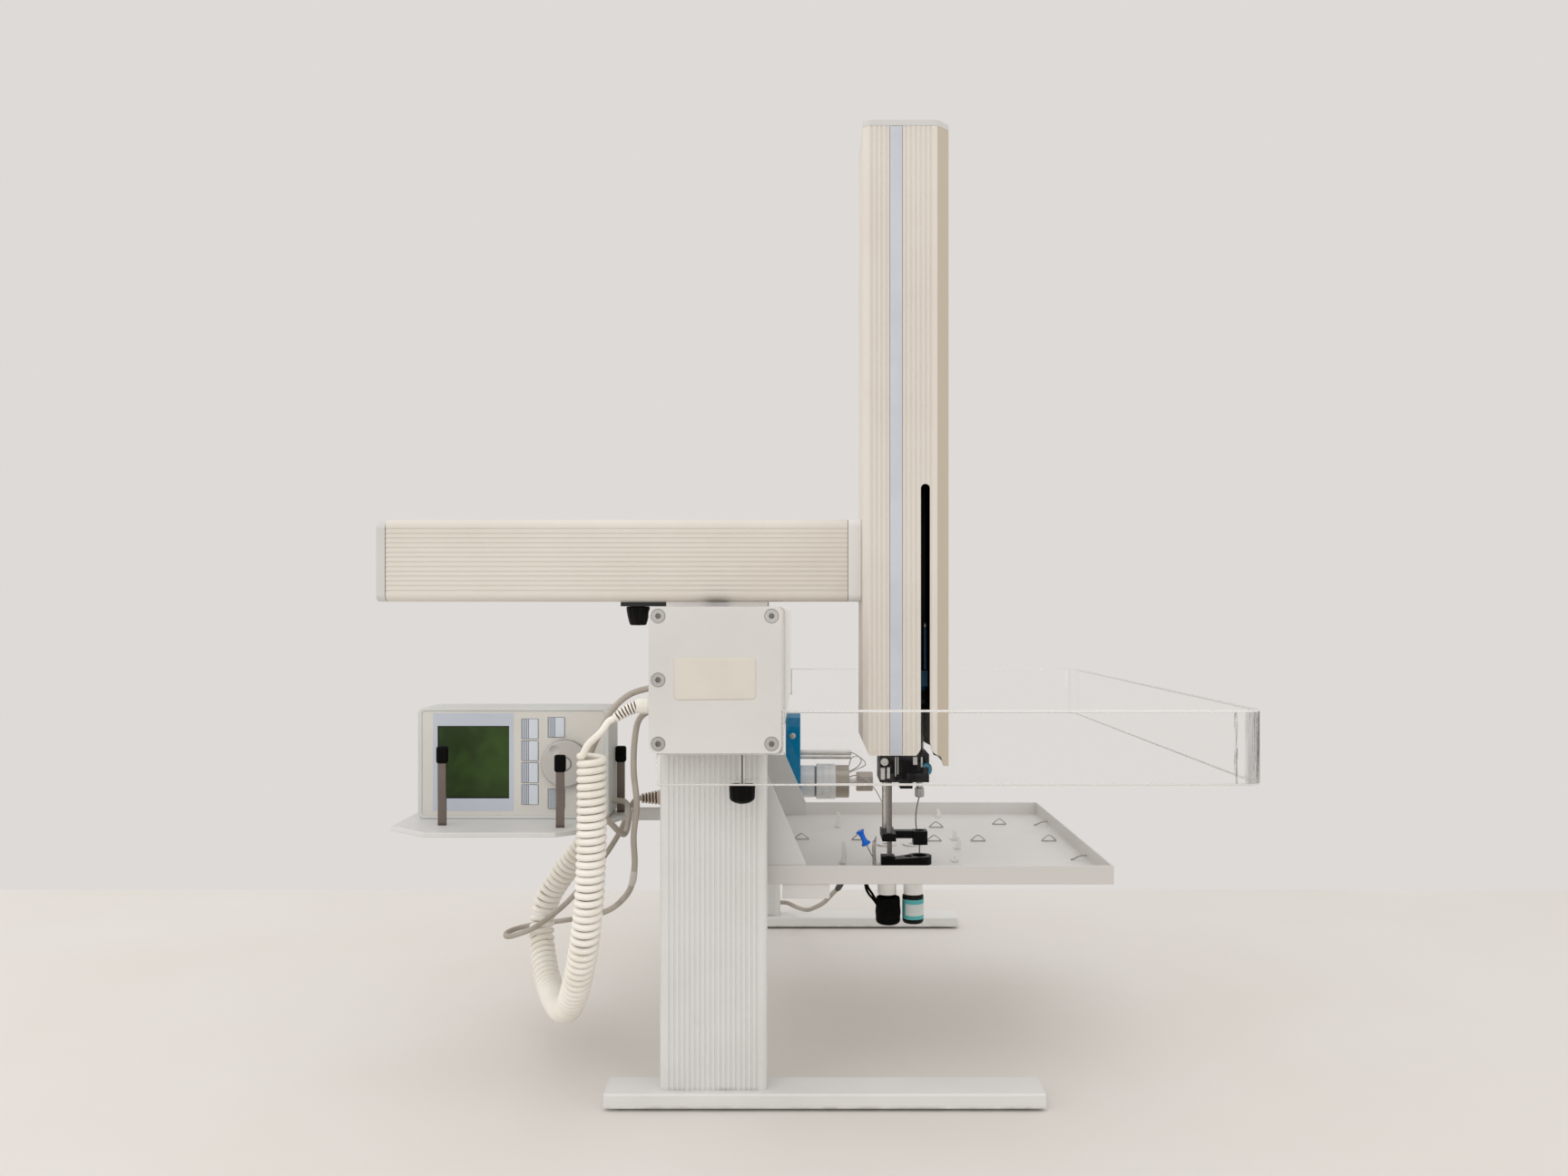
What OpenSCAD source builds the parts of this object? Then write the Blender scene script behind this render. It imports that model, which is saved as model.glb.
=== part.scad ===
// Bench autosampler: a beam on two legs carries a cross arm, and the tower on the arm lowers a
// syringe over a sample tray. Millimetres. X points to the front, Y along the beam, Z up.
// The origin lies on the table under the middle of the outline, and rest is as photographed.

/* [Legs] */
// Height of a column
column_h = 301; // [260:1:340]
// Width of a column
column_w = 94; // [80:1:104]
// Thickness of a column
column_t = 24; // [20:1:30]
// How far the columns stand behind the middle of the beam
column_back = 5; // [0:1:8]
// Wall of the column tubes
column_wall = 3; // [2:0.5:5]
// Length of a foot bar
foot_len = 385; // [340:1:440]
// Reach of the foot bars in front of the middle of the beam
foot_front = 285; // [260:1:310]
// Width of a foot bar
foot_w = 40; // [34:1:52]
// Height of a foot bar
foot_h = 12.5; // [9:0.5:18]
// Diameter of the rubber pads
pad_d = 18; // [12:1:24]
// Height of the rubber pads
pad_h = 2.5; // [2:0.5:5]
// Distance of the near column from the near end of the beam
near_leg = 60; // [54:1:70]
// Distance of the far column from the far end of the beam
far_leg = 167; // [150:1:185]
// Distance from rib to rib on the columns, arm and tower
rib_pitch = 4.5; // [3.5:0.1:6]
// Depth of the grooves between the ribs
rib_depth = 0.7; // [0.3:0.1:1]

/* [Beam] */
// Length over both end caps
beam_len = 828; // [780:1:900]
// Width of the beam
beam_w = 111; // [105:1:122]
// Height of the beam
beam_h = 123; // [116:1:136]
// Wall of the beam
beam_wall = 3; // [2.5:0.5:4]
// Thickness of an end cap
cap_t = 8; // [6:0.5:12]
// Distance of the cap screws from the edges
screw_inset = 8; // [7:0.5:9]
// Diameter of a cap screw's head
screw_head_d = 11.4; // [9:0.2:12]
// Width of the guide rail inside the beam
rail_w = 12; // [9:0.5:14]
// Height of the guide rail inside the beam
rail_h = 15; // [10:0.5:17]
// Radius of the two belt pulleys
pulley_r = 12; // [9:0.5:14]
// Width of the drive belt
belt_w = 8; // [5:0.5:9]

/* [Arm] */
// Length of the arm over its end caps
arm_len = 460; // [430:1:500]
// Height of the arm
arm_h = 78; // [74:1:90]
// Depth of the arm
arm_d = 54; // [52:1:66]
// Gap from the top of the beam to the arm
arm_gap = 5; // [4:0.5:8]
// Wall of the arm cover
arm_wall = 2.5; // [1.5:0.5:3]
// Distance of the middle of the arm from the near end of the beam
arm_from_end = 160; // [156:1:175]
// Thickness of the arm's rear cap
arm_rear_t = 9.5; // [6:0.5:14]
// Thickness of the arm's front cap
arm_front_t = 13; // [11:0.5:18]
// Forward travel of the arm
arm_out = 155; // [100:1:158]
// Backward travel of the arm
arm_in = 50; // [20:1:60]

/* [Tower] */
// Distance of the tower in front of the middle of the beam
tower_x = 129; // [126:1:140]
// Width of the tower
tower_w = 80; // [76:1:92]
// Depth of the tower
tower_d = 100; // [94:1:114]
// Height of the tower from its rim to its cap
tower_h = 585; // [560:1:660]
// Distance from the arm's underside down to the tower's rim
tower_drop = 142; // [136:1:150]
// Wall of the tower cover
tower_wall = 2.5; // [2:0.5:3.5]
// Chamfer of the tower's front corners
tower_chamfer = 12; // [6:1:14]
// Width of the slot in the tower's near side
slot_w = 8.4; // [6:0.2:10]
// Height of the slot above the tower's rim
slot_h = 250; // [200:1:300]
// Thickness of the tower's top cap
top_cap_t = 6; // [4:0.5:10]

/* [Syringe] */
// Lift of the syringe carriage
lift = 50; // [20:1:52]
// Lift of the needle guide on the carriage
guide_lift = 20; // [8:1:22]
// Stroke of the plunger
stroke = 45; // [20:1:50]
// Diameter of the syringe barrel
barrel_d = 8; // [6:0.5:10]
// Diameter of the plunger
plunger_d = 4.4; // [2:0.2:5]
// Diameter of the guide rods
rod_d = 5; // [4:0.5:6]
// Diameter of the needle
needle_d = 0.9; // [0.6:0.1:1.4]
// Gap from the tray's floor to the needle guide
guide_clear = 3.5; // [2:0.5:5]

/* [Tray] */
// Distance from the beam down to the tray's floor
tray_drop = 128; // [120:1:134]
// Distance of the tray from the near end of the beam
tray_from_end = 90; // [84:1:96]
// Length of the tray along the beam
tray_len = 363; // [350:1:380]
// Reach of the tray in front of the middle of the beam
tray_front = 357; // [354:1:372]
// Height of the tray's rim
rim_h = 15; // [10:0.5:20]
// Thickness of the tray's sheet
sheet = 2; // [1.5:0.25:2.5]
// Diameter of a wash vial
vial_d = 23; // [18:0.5:25]
// Height of a wash vial
vial_h = 31; // [24:1:40]
// Height of a wash vial's white collar
collar_h = 49; // [40:1:56]

/* [Valve] */
// Distance of the valve behind the tray's far rim
valve_gap = 57; // [54:1:66]
// Distance from the beam down to the valve's axis
valve_drop = 96; // [90:1:104]
// Diameter of the valve's collar
collar_d = 44; // [40:1:50]
// Thickness of the valve's bracket
bracket_t = 18; // [12:1:22]

/* [Guard] */
// Reach of the guard in front of the middle of the beam
guard_front = 462; // [440:1:480]
// Height of the guard
guard_h = 64; // [52:1:70]
// Height of the guard's upper edge above the beam's underside
guard_up = 36; // [28:1:38]
// Thickness of the clear sheet
guard_t = 4; // [3:0.5:5]
// Distance of the guard from the near end of the beam
guard_near = 5; // [4:1:12]
// Distance of the guard from the far end of the beam
guard_far = 111; // [104:1:120]
// Diameter of the guard's knobs
knob_d = 23; // [18:1:24]

/* [Terminal] */
// Width of the terminal
term_w = 183; // [178:1:200]
// Height of the terminal
term_h = 106; // [104:1:120]
// Depth of the terminal
term_d = 55; // [40:1:56]
// Distance of the terminal behind the middle of the beam
term_back = 112; // [111:1:118]
// Distance of the terminal's front from the near end of the beam
term_from_end = 145; // [143:1:150]
// Distance from the beam down to the shelf
shelf_drop = 80; // [74:1:86]
// Thickness of the shelf
shelf_t = 4.5; // [3:0.5:6]
// Diameter of the jog dial
dial_d = 45; // [36:1:46]
// Width of a key
key_w = 15.6; // [12:0.2:16]
// Height of a key
key_h = 18.6; // [14:0.2:19]
// Travel of a key
key_travel = 1; // [0.5:0.1:1.2]

/* [Cords] */
// Diameter of the curly cord
curl_wire = 5.8; // [5:0.1:6]
// Radius of the curls at the middle of the wire
curl_r = 10; // [9:0.5:10.5]
// Distance from curl to curl, on the inside of a bend
curl_pitch = 7.5; // [7:0.1:8]
// Diameter of the grey leads
lead_d = 5.6; // [4.5:0.1:6]

/* [Hidden] */
$fn = 48;

// Radial clearance of a turning fit, and the gap between neighbouring bodies
run = 0.05;
gap = 0.4;
// A cut reaches this far past the face that it goes through
past = 1;

// Heights and ends that several pieces share
z_foot = pad_h + foot_h;
z_beam = z_foot + column_h;
z_top = z_beam + beam_h;
y_near = -beam_len / 2;
y_far = beam_len / 2;
near_y = y_near + near_leg;
far_y = y_far - far_leg;
arm_x0 = tower_x - arm_len;
arm_y = y_near + arm_from_end;
arm_z = z_top + arm_gap;
mid_x = (guard_front + arm_x0) / 2;

// Corner radii
foot_r = 2;
column_r = 5;
beam_r = 6;
arm_r = 7;

// Beam: screw channels, rail and drive
screw_r = 2.5;
boss_r = 6;
screw_x = beam_w / 2 - screw_inset;
screw_z = beam_h / 2 - screw_inset;
screw_at = [[-screw_x, -screw_z], [screw_x, -screw_z], [-screw_x, 0], [-screw_x, screw_z],
    [screw_x, screw_z]];
screw_head_h = 3.2;
screw_len = 18;
beam_zc = z_beam + beam_h / 2;
rail_zc = beam_zc + 25;
rail_x1 = -beam_w / 2 + beam_wall + rail_w;
motor_w = 42;
motor_h = 58;
shaft_r = 3;
belt_t = 1.5;
belt_x = 18;
belt_in = pulley_r + gap;
belt_out = belt_in + belt_t;
pulley_end = 40;
motor_y = y_near + cap_t + pulley_end;
idler_y = y_far - cap_t - pulley_end;
flange_t = 1.2;
flange_r = belt_out + 0.8;
idler_t = 8;

// Carriage: neck through the beam's slot, head inside the arm
neck_w = 18;
neck_d = 28;
neck_x1 = belt_x - belt_out - gap - 3;
neck_x0 = neck_x1 - neck_w;
runner_len = 70;
runner_h = rail_h + 13;
slot_side = 3;
plate_x0 = -100;
plate_x1 = 40;
plate_d = 40;
lock_x = -86;
lock_r = 3;
lock_h = 14;
arm_rail_w = 6;
arm_rail_h = 8;
arm_rail_z = arm_z + 16;
head_len = 70;
head_z0 = arm_z + arm_wall + gap;
head_z1 = arm_rail_z + arm_rail_h + 4;
head_x = (neck_x0 + neck_x1) / 2;
spindle_r = 4;
spindle_z = arm_rail_z + arm_rail_h / 2 + motor_w / 2 + 3;
nut_d = 24;
arm_motor_len = 48;
arm_cover_x0 = arm_x0 + arm_rear_t;
arm_cover_x1 = tower_x - arm_front_t;

// Tower: places are measured from the cover's rear face and middle
tower_y = arm_y - 10;
tower_z = arm_z - tower_drop;
tower_top = tower_z + tower_h;
rear_chamfer = 5;
slot_x = tower_x + 57.2;
needle_x = slot_x - 0.7;
lip_drop = 11;
lip_rise = 13;
// The lip's edge from the slot to the front: share of its width, share of its height
lip_steps = [[0, 1], [0.03, 0.86], [0.08, 0.68], [0.2, 0.56], [0.36, 0.48], [0.52, 0.43], [0.58, 0.37],
    [0.63, 0.26], [0.66, 0.12], [0.7, 0.03], [1, 0]];
rim_cut = [5.4, 12];
slot_cut = [4, 6];
stripe_x = tower_x + 24;
stripe_w = 12.6;
stripe_t = 0.6;
spine_t = 6;
spine_w = 60;
spine_x1 = tower_x + tower_wall + spine_t;
lift_motor_w = 35;
lift_motor_h = 46;
lift_rail_w = 8;
lift_rail_d = 12;
lift_y = tower_y + 25;
lift_x = spine_x1 + lift_motor_w / 2;
motor_z = tower_top - top_cap_t - 13 - lift_motor_h;
bearing_z = tower_z + 54;
bearing_h = 10;
rail_z0 = bearing_z + bearing_h + 2;

// Syringe carriage, needle guide and plunger
block_hang = 2;
block_h = 26.5;
block_in = 17;
block_d = 44;
block_z1 = tower_z - block_hang;
block_z0 = block_z1 - block_h;
block_x0 = tower_x + block_in;
runner_up = 4;
lift_runner = 60;
runner_z0 = rail_z0 + runner_up;
runner_z1 = runner_z0 + lift_runner;
web_in = 2;
web_t = 7;
web_x0 = spine_x1 + lift_rail_w + web_in;
web_x1 = web_x0 + web_t;
clamp_up = 38;
clamp_h = 8;
barrel_lip = 4;
clamp_z = block_z1 + clamp_up;
barrel_z1 = clamp_z + clamp_h + barrel_lip;
nut_h = 16.9;
bump_x = [19, 31];
bump_h = 6;
nut_r = 4.45;
rod_in = 26.5;
rod_near = 15;
rod_far = 12;
rod_x = tower_x + rod_in;
rod_y = [tower_y - rod_near, tower_y + rod_far];
rod_xs = [rod_x, rod_x - 2.8];
collar_t = 4;
guide_z = z_beam - tray_drop + guide_clear;
guide_low_h = 12;
guide_rise = 26;
guide_top_z = guide_z + guide_rise;
guide_top_h = 7;
ring_r = 11.5;
ring_hole_r = 7;
guide_bore_r = 4.5;
lever_t = 3;
lever_h = 24;
slide_up = 10;
slide_h = 30;
button_up = 9;
slide_z0 = runner_z1 + slide_up;
slide_z1 = slide_z0 + slide_h;
button_z = barrel_z1 + button_up;

// Tray and what hangs from it
tray_z = z_beam - tray_drop;
tray_y0 = y_near + tray_from_end;
tray_y1 = tray_y0 + tray_len;
tray_back = 15.5;
gusset_top = 28;
gusset_front = 77;
flange_w = 20;
channel_x = [55, 98];
channel_h = 13.5;
vial_y = tray_y0 + 174;
vial_x = [162, 189.5];
spigot_r = 8;
wash_r = 5;
collar_lip = 1.5;

// Valve
valve_y = tray_y1 + valve_gap;
valve_z = z_beam - valve_drop;
bracket_x0 = 52;
bracket_x1 = bracket_x0 + bracket_t;
bracket_d = 60;
bracket_below = 22;
bracket_top = z_beam - 13;
bracket_flange = 8;
actuator_len = 90;
actuator_w = 50;
rotor_shaft_r = 6;
rotor_r = 13;
rotor_t = 12;
body_r = 20;
body_len = 20;
collar_len = 24;
stator_len = 17;
cavity_x = bracket_x1 + body_len + 2;
body_x1 = bracket_x1 + body_len + collar_len + stator_len;
fitting_r = 11.4;
port_r = 2.75;
stay_len = 64;
stay_r = [3.2, 2.5];

// Guard and its knobs
guard_y0 = y_near + guard_near;
guard_y1 = y_far - guard_far;
guard_z1 = z_beam + guard_up;
guard_z0 = guard_z1 - guard_h;
guard_bend = 14;
tongue_x = -50;
tab_x = 22;
tab_w = 36;
tab_d = 22;
knob_in = 13;
knob_h = 16.5;
stem_r = 2.3;
knob_z1 = guard_z0 - gap;

// Terminal: places on the front are measured from its lower left corner
term_x1 = -term_back;
term_x0 = term_x1 - term_w;
term_y0 = y_near + term_from_end;
term_y1 = term_y0 + term_d;
shelf_z = z_beam - shelf_drop;
term_wall = 4.5;
panel_t = 3;
panel_in = 0.6;
panel_y0 = term_y0 + panel_in;
panel_y1 = panel_y0 + panel_t;
display_w = 68.5;
display_h = 69.4;
display_at = [19, 19.6];
key_lip = 1;
key_lip_t = 1.2;
key_space = 0.4;
key_raise = 1.8;
key_step = key_h + 2 * key_lip + key_space;
key_x = 99.6;
key_z = term_h / 2 + key_raise - 1.5 * key_step - key_h / 2;
side_key_x = 124.8;
side_key_in = 9;
side_key_z = [term_h - side_key_in - key_h, side_key_in + key_lip];
dial_at = [141.7, 53.5];
dial_t = 7;
key_proud = 1.2;

// Shelf and its posts
shelf_back = term_y1 + 14;
shelf_flange = 13;
shelf_edge = [[term_x0 - 12.5, term_y0 - 38], [term_x0 + 28, term_y0 - 71],
    [term_x1 - 37, term_y0 - 70], [term_x1 - 20, term_y0 - 56], [term_x1 + 2, term_y0 - 2],
    [term_x1 + 14, term_y0 + 29], [term_x1 + 14, shelf_back], [term_x0 - 12.5, shelf_back]];
post_w = 7.5;
post_t = 3;
post_cap_w = 10.5;
post_cap_h = 16;
post_at = [[term_x0 + 33.5, term_y0 - 33], [term_x1 - 37.5, term_y0 - 45],
    [term_x1 + 5.5, term_y0 + 40]];
post_h = [57.5, 51, 49.5];

// Curly cord: socket on the beam's rear face, then the axis of the curls down and back up
socket_y = -364;
socket_z = 352;
socket_r = 7;
socket_len = 15;
boot_len = 24;
boot_tilt = 62;
cord_r = curl_wire / 2;
boot_end = [-beam_w / 2 - socket_len - boot_len * sin(boot_tilt), socket_y,
    socket_z - boot_len * cos(boot_tilt)];
cord_in = [boot_end, boot_end - 7 * [sin(boot_tilt), 0, cos(boot_tilt)], [-104, -365, 331]];
cord_axis = [[-110, -367, 318], [-111, -368, 300], [-111, -368, 260], [-112, -366, 216],
    [-115, -362, 176], [-121, -352, 136], [-132, -328, 96], [-147, -287, 62], [-166, -236, 46],
    [-187, -184, 51], [-202, -146, 78], [-205, -132, 106], [-197, -134, 132], [-182, -140, 155],
    [-162, -150, 181], [-146, -160, 202]];
cord_out = [[-136, -168, 222], [-133, -176, 240], [-135, -188, 254], [-138, -200, 259],
    [-138, term_y1 + 8, 260], [-138, term_y1, 260]];
curl_rings = 8;
curl_sides = 6;

// Grey leads: routes from the beam's rear face to the terminal and the tray
terminal_lead = [[-beam_w / 2, -345, 366], [-64, -345, 366], [-82, -346, 360], [-97, -348, 346],
    [-107, -349, 327], [-116, -345, 308], [-119, -340, 290], [-115, -335, 266], [-105, -329, 248],
    [-95, -314, 232], [-92, -298, 228], [-92, -278, 236], [-95, -260, 245], [-99, -250, 249],
    [-105, -247, 250], [term_x1, -247, 250]];
link_lead = [[-beam_w / 2, -330, 344], [-66, -330, 344], [-75, -331, 336], [-78, -336, 318],
    [-78, -342, 292], [-75, -344, 262], [-78, -342, 234], [-78, -336, 206], [-84, -318, 182],
    [-100, -270, 158], [-122, -210, 134], [-152, -146, 112], [-184, -108, 98], [-216, -92, 90],
    [-238, -94, 86], [-249, -106, 84], [-246, -122, 84], [-232, -138, 90], [-204, -162, 106],
    [-168, -176, 136], [-134, -184, 178], [-113, -191, 210], [-104, -194, 232], [-96, -197, 243],
    [-84, -202, 246.5], [-71, -202, 246.5]];
tray_lead = [[42, far_y, 31], [52, far_y, 30], [64, 237, 27], [78, 205, 31], [89, 162, 45],
    [100, 115, 63], [110, 66, 86], [117, 18, 106], [121, -36, 132], [123, -80, 156],
    [124, -100, 174], [124, -102, tray_z - sheet]];

// Linear shapes in their own directions: (x, z) swept along Y, and (y, z) swept along X
module bar_y(y0, y1) translate([0, y1, 0]) rotate([90, 0, 0]) linear_extrude(y1 - y0) children();
module bar_x(x0, x1) translate([x0, 0, 0]) rotate([90, 0, 90]) linear_extrude(x1 - x0) children();
module block(lo, hi) translate(lo) cube(hi - lo);
module along_x(at, r, len) translate(at) rotate([0, 90, 0]) cylinder(r = r, h = len);
module placed() translate([-mid_x, 0, 0]) children();

module round_rect(w, h, r) {
    square([w - 2 * r, h], center = true);
    square([w, h - 2 * r], center = true);
    for (sx = [-1, 1], sy = [-1, 1])
        translate([sx * (w / 2 - r), sy * (h / 2 - r)]) circle(r);
}

// Half a pitch is rib, half is groove, cut into the two long sides of a section
module grooves(w, across) {
    count = floor(w / rib_pitch);
    for (side = [-1, 1], i = [0:count - 1])
        translate([(i - (count - 1) / 2) * rib_pitch, side * across / 2])
            square([rib_pitch / 2, 2 * rib_depth], center = true);
}

// Sections of a smooth curve through chosen points, and a tube of triangles along it
function unit(v) = v / norm(v);
function between(a, b, c, d, t) = 0.5 * (2 * b + (c - a) * t + (2 * a - 5 * b + 4 * c - d) * t * t
    + (3 * b - a - 3 * c + d) * t * t * t);
function curve(p, steps) = concat([for (i = [0:len(p) - 2], k = [0:steps - 1])
    between(p[max(i - 1, 0)], p[i], p[i + 1], p[min(i + 2, len(p) - 1)], k / steps)],
    [p[len(p) - 1]]);
function tangent(p, i) = unit(p[min(i + 1, len(p) - 1)] - p[max(i - 1, 0)]);
function square_to(v, t) = unit(v - (v * t) * t);

module tube(path, r, sides) {
    n = len(path);
    t = [for (i = [0:n - 1]) tangent(path, i)];
    u = [for (i = 0, v = square_to([0.3, 0.9, 0.2], t[0]); i < n;
        i = i + 1, v = square_to(v, t[min(i, n - 1)])) v];
    points = [for (i = [0:n - 1], k = [0:sides - 1]) let (a = 360 * k / sides)
        path[i] + r * (cos(a) * u[i] + sin(a) * cross(t[i], u[i]))];
    walls = [for (i = [0:n - 2], k = [0:sides - 1], half = [0, 1])
        let (a = i * sides + k, b = i * sides + (k + 1) % sides)
        half == 0 ? [a, b + sides, b] : [a, a + sides, b + sides]];
    ends = [for (k = [1:sides - 2], end = [0, 1]) let (e = (n - 1) * sides)
        end == 0 ? [0, k, k + 1] : [e, e + k + 1, e + k]];
    polyhedron(points, concat(walls, ends), convexity = 10);
}

// Legs
module foot(y) {
    color("gainsboro") placed() bar_x(foot_front - foot_len, foot_front) translate([y, pad_h]) {
        translate([-foot_w / 2, 0]) square([foot_w, foot_h - foot_r]);
        translate([-foot_w / 2 + foot_r, 0]) square([foot_w - 2 * foot_r, foot_h]);
        for (side = [-1, 1])
            translate([side * (foot_w / 2 - foot_r), foot_h - foot_r]) circle(foot_r);
    }
}
module near_foot() foot(near_y);
module far_foot() foot(far_y);
module foot_pads() {
    pad_in = pad_d;
    color("dimgray") placed()
        for (y = [near_y, far_y], x = [foot_front - foot_len + pad_in, foot_front - pad_in])
            translate([x, y, 0]) cylinder(d = pad_d, h = pad_h);
}
module column(y) {
    inner_r = max(column_r - column_wall, 0.5);
    color("gainsboro") placed() translate([-column_back, y, z_foot]) linear_extrude(column_h)
        difference() {
            round_rect(column_w, column_t, column_r);
            round_rect(column_w - 2 * column_wall, column_t - 2 * column_wall, inner_r);
            grooves(column_w - 2 * column_r, column_t);
        }
}
module near_column() column(near_y);
module far_column() column(far_y);

// Beam
module beam_section() {
    difference() {
        union() {
            difference() {
                round_rect(beam_w, beam_h, beam_r);
                round_rect(beam_w - 2 * beam_wall, beam_h - 2 * beam_wall, beam_r - 2);
            }
            for (at = screw_at) translate(at) circle(boss_r);
            translate([-beam_w / 2 + beam_wall / 2, rail_zc - beam_zc - rail_h / 2])
                square([rail_w + beam_wall / 2, rail_h]);
        }
        for (at = screw_at) translate(at) circle(screw_r + run);
        translate([neck_x0 - slot_side, beam_h / 2 - 2 * beam_wall])
            square([neck_w + 2 * slot_side, 3 * beam_wall]);
    }
}
module beam() {
    color("whitesmoke") placed() difference() {
        bar_y(y_near + cap_t, y_far - cap_t) translate([0, beam_zc]) beam_section();
        for (y = [guard_y0 + knob_in, guard_y1 - knob_in]) translate([tab_x, y, z_beam - past])
            cylinder(r = stem_r + run, h = beam_wall + 2 * past);
    }
}
module cap_plate() {
    difference() {
        bar_y(y_near, y_near + cap_t) translate([0, beam_zc]) round_rect(beam_w, beam_h, beam_r);
        for (at = screw_at) translate([at.x, y_near, beam_zc + at.y]) rotate([-90, 0, 0]) {
            translate([0, 0, -past]) cylinder(r = screw_r + run, h = cap_t + 2 * past);
            translate([0, 0, -past]) cylinder(d = screw_head_d + 0.6, h = screw_head_h + past);
        }
    }
}
module near_end_cap() color("lightgray") placed() cap_plate();
module far_end_cap() {
    plate_z = rail_zc - belt_w / 2 - 4 - idler_t;
    color("lightgray") placed() {
        mirror([0, 1, 0]) cap_plate();
        block([belt_x - idler_t, idler_y - idler_t, plate_z],
            [belt_x + idler_t, y_far - cap_t, plate_z + idler_t]);
        translate([belt_x, idler_y, plate_z]) cylinder(r = shaft_r, h = idler_t + belt_w + 9);
    }
}
module end_cap_screws() {
    color("silver") placed() for (end = [0, 1], at = screw_at) mirror([0, end, 0])
        translate([at.x, y_near, beam_zc + at.y]) rotate([-90, 0, 0]) difference() {
            union() {
                cylinder(d = screw_head_d, h = screw_head_h);
                cylinder(r = screw_r, h = screw_head_h + screw_len);
            }
            translate([0, 0, -past]) cylinder(r = 2.6, h = 2 + past, $fn = 6);
        }
}

// Rail drive: motor, belt and two pulleys inside the beam
module motor(w, h, r) difference() {
    linear_extrude(h) round_rect(w, w, 4);
    translate([0, 0, h - 18]) cylinder(r = r + run, h = 18 + past);
}
module rail_motor() {
    color("dimgray") placed() translate([belt_x, motor_y, z_beam + beam_wall])
        motor(motor_w, motor_h, shaft_r);
}
module belt_loop(r) {
    for (y = [motor_y, idler_y]) translate([belt_x, y]) circle(r);
    translate([belt_x - r, motor_y]) square([2 * r, idler_y - motor_y]);
}
module rail_belt() {
    color("black") placed() translate([0, 0, rail_zc - belt_w / 2]) linear_extrude(belt_w)
        difference() {
            belt_loop(belt_out);
            belt_loop(belt_in);
        }
}
module pulley() {
    translate([0, 0, rail_zc - belt_w / 2 - gap]) cylinder(r = pulley_r, h = belt_w + 2 * gap);
    for (z = [rail_zc - belt_w / 2 - gap - flange_t, rail_zc + belt_w / 2 + gap])
        translate([0, 0, z]) cylinder(r = flange_r, h = flange_t);
}
module rail_pulley() {
    z0 = z_beam + beam_wall + motor_h - 16;
    color("silver") placed() translate([belt_x, motor_y, 0]) {
        pulley();
        translate([0, 0, z0]) cylinder(r = shaft_r, h = rail_zc - z0);
    }
}
module rail_idler() {
    hub_z = rail_zc - belt_w / 2 - 4 + gap;
    color("silver") placed() translate([belt_x, idler_y, 0]) difference() {
        union() {
            pulley();
            translate([0, 0, hub_z]) cylinder(r = 7, h = rail_zc - hub_z);
        }
        translate([0, 0, hub_z - past]) cylinder(r = shaft_r + run, h = belt_w + 12);
    }
}

// Carriage: rides on the beam's rail, grips the belt and carries the arm
module carriage() {
    runner_x0 = -beam_w / 2 + beam_wall + gap;
    belt_top = rail_zc + belt_w / 2;
    clamp_x1 = belt_x - belt_in + gap + 3;
    head_d = arm_d - 2 * arm_r + 2 * past;
    inner_d = arm_d - 2 * arm_wall - 2 * arm_rail_w - 2 * gap;
    color("slategray") placed() translate([0, arm_y, 0]) difference() {
        union() {
            block([runner_x0, -runner_len / 2, rail_zc - runner_h / 2],
                [neck_x1, runner_len / 2, rail_zc + runner_h / 2]);
            block([neck_x0, -neck_d / 2, rail_zc], [neck_x1, neck_d / 2, head_z0 + past]);
            block([neck_x1 - past, -15, rail_zc - 5], [clamp_x1, 15, belt_top + 6]);
            block([plate_x0, -plate_d / 2, z_top + gap], [plate_x1, plate_d / 2, arm_z - gap]);
            block([head_x - head_len / 2, -head_d / 2, head_z0],
                [head_x + head_len / 2, head_d / 2, head_z1]);
            block([head_x - nut_d / 2, -nut_d / 2, head_z1 - past],
                [head_x + nut_d / 2, nut_d / 2, spindle_z + nut_d / 2]);
        }
        block([runner_x0 - past, -runner_len / 2 - past, rail_zc - rail_h / 2 - gap],
            [rail_x1 + gap, runner_len / 2 + past, rail_zc + rail_h / 2 + gap]);
        block([belt_x - belt_out - gap, -15 - past, rail_zc - 5 - past],
            [belt_x - belt_in + gap, 15 + past, belt_top + gap]);
        for (side = [-1, 1]) scale([1, side, 1])
            block([head_x - head_len / 2 - past, inner_d / 2, arm_rail_z - arm_rail_h / 2 - gap],
                [head_x + head_len / 2 + past, arm_d, arm_rail_z + arm_rail_h / 2 + gap]);
        along_x([head_x - nut_d, 0, spindle_z], spindle_r + gap, 2 * nut_d);
        translate([lock_x, 0, z_top]) cylinder(r = lock_r + run, h = arm_gap);
    }
}
module arm_lock_knob() {
    z1 = z_top;
    color("black") placed() translate([lock_x, arm_y, 0]) {
        translate([0, 0, z1 - lock_h]) cylinder(r1 = 9, r2 = 11.5, h = lock_h);
        translate([0, 0, z1 - lock_h - 4]) cylinder(r1 = 7.5, r2 = 9, h = 4);
        translate([0, 0, z1 - past]) cylinder(r = lock_r, h = arm_gap - gap + past);
    }
}

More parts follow.
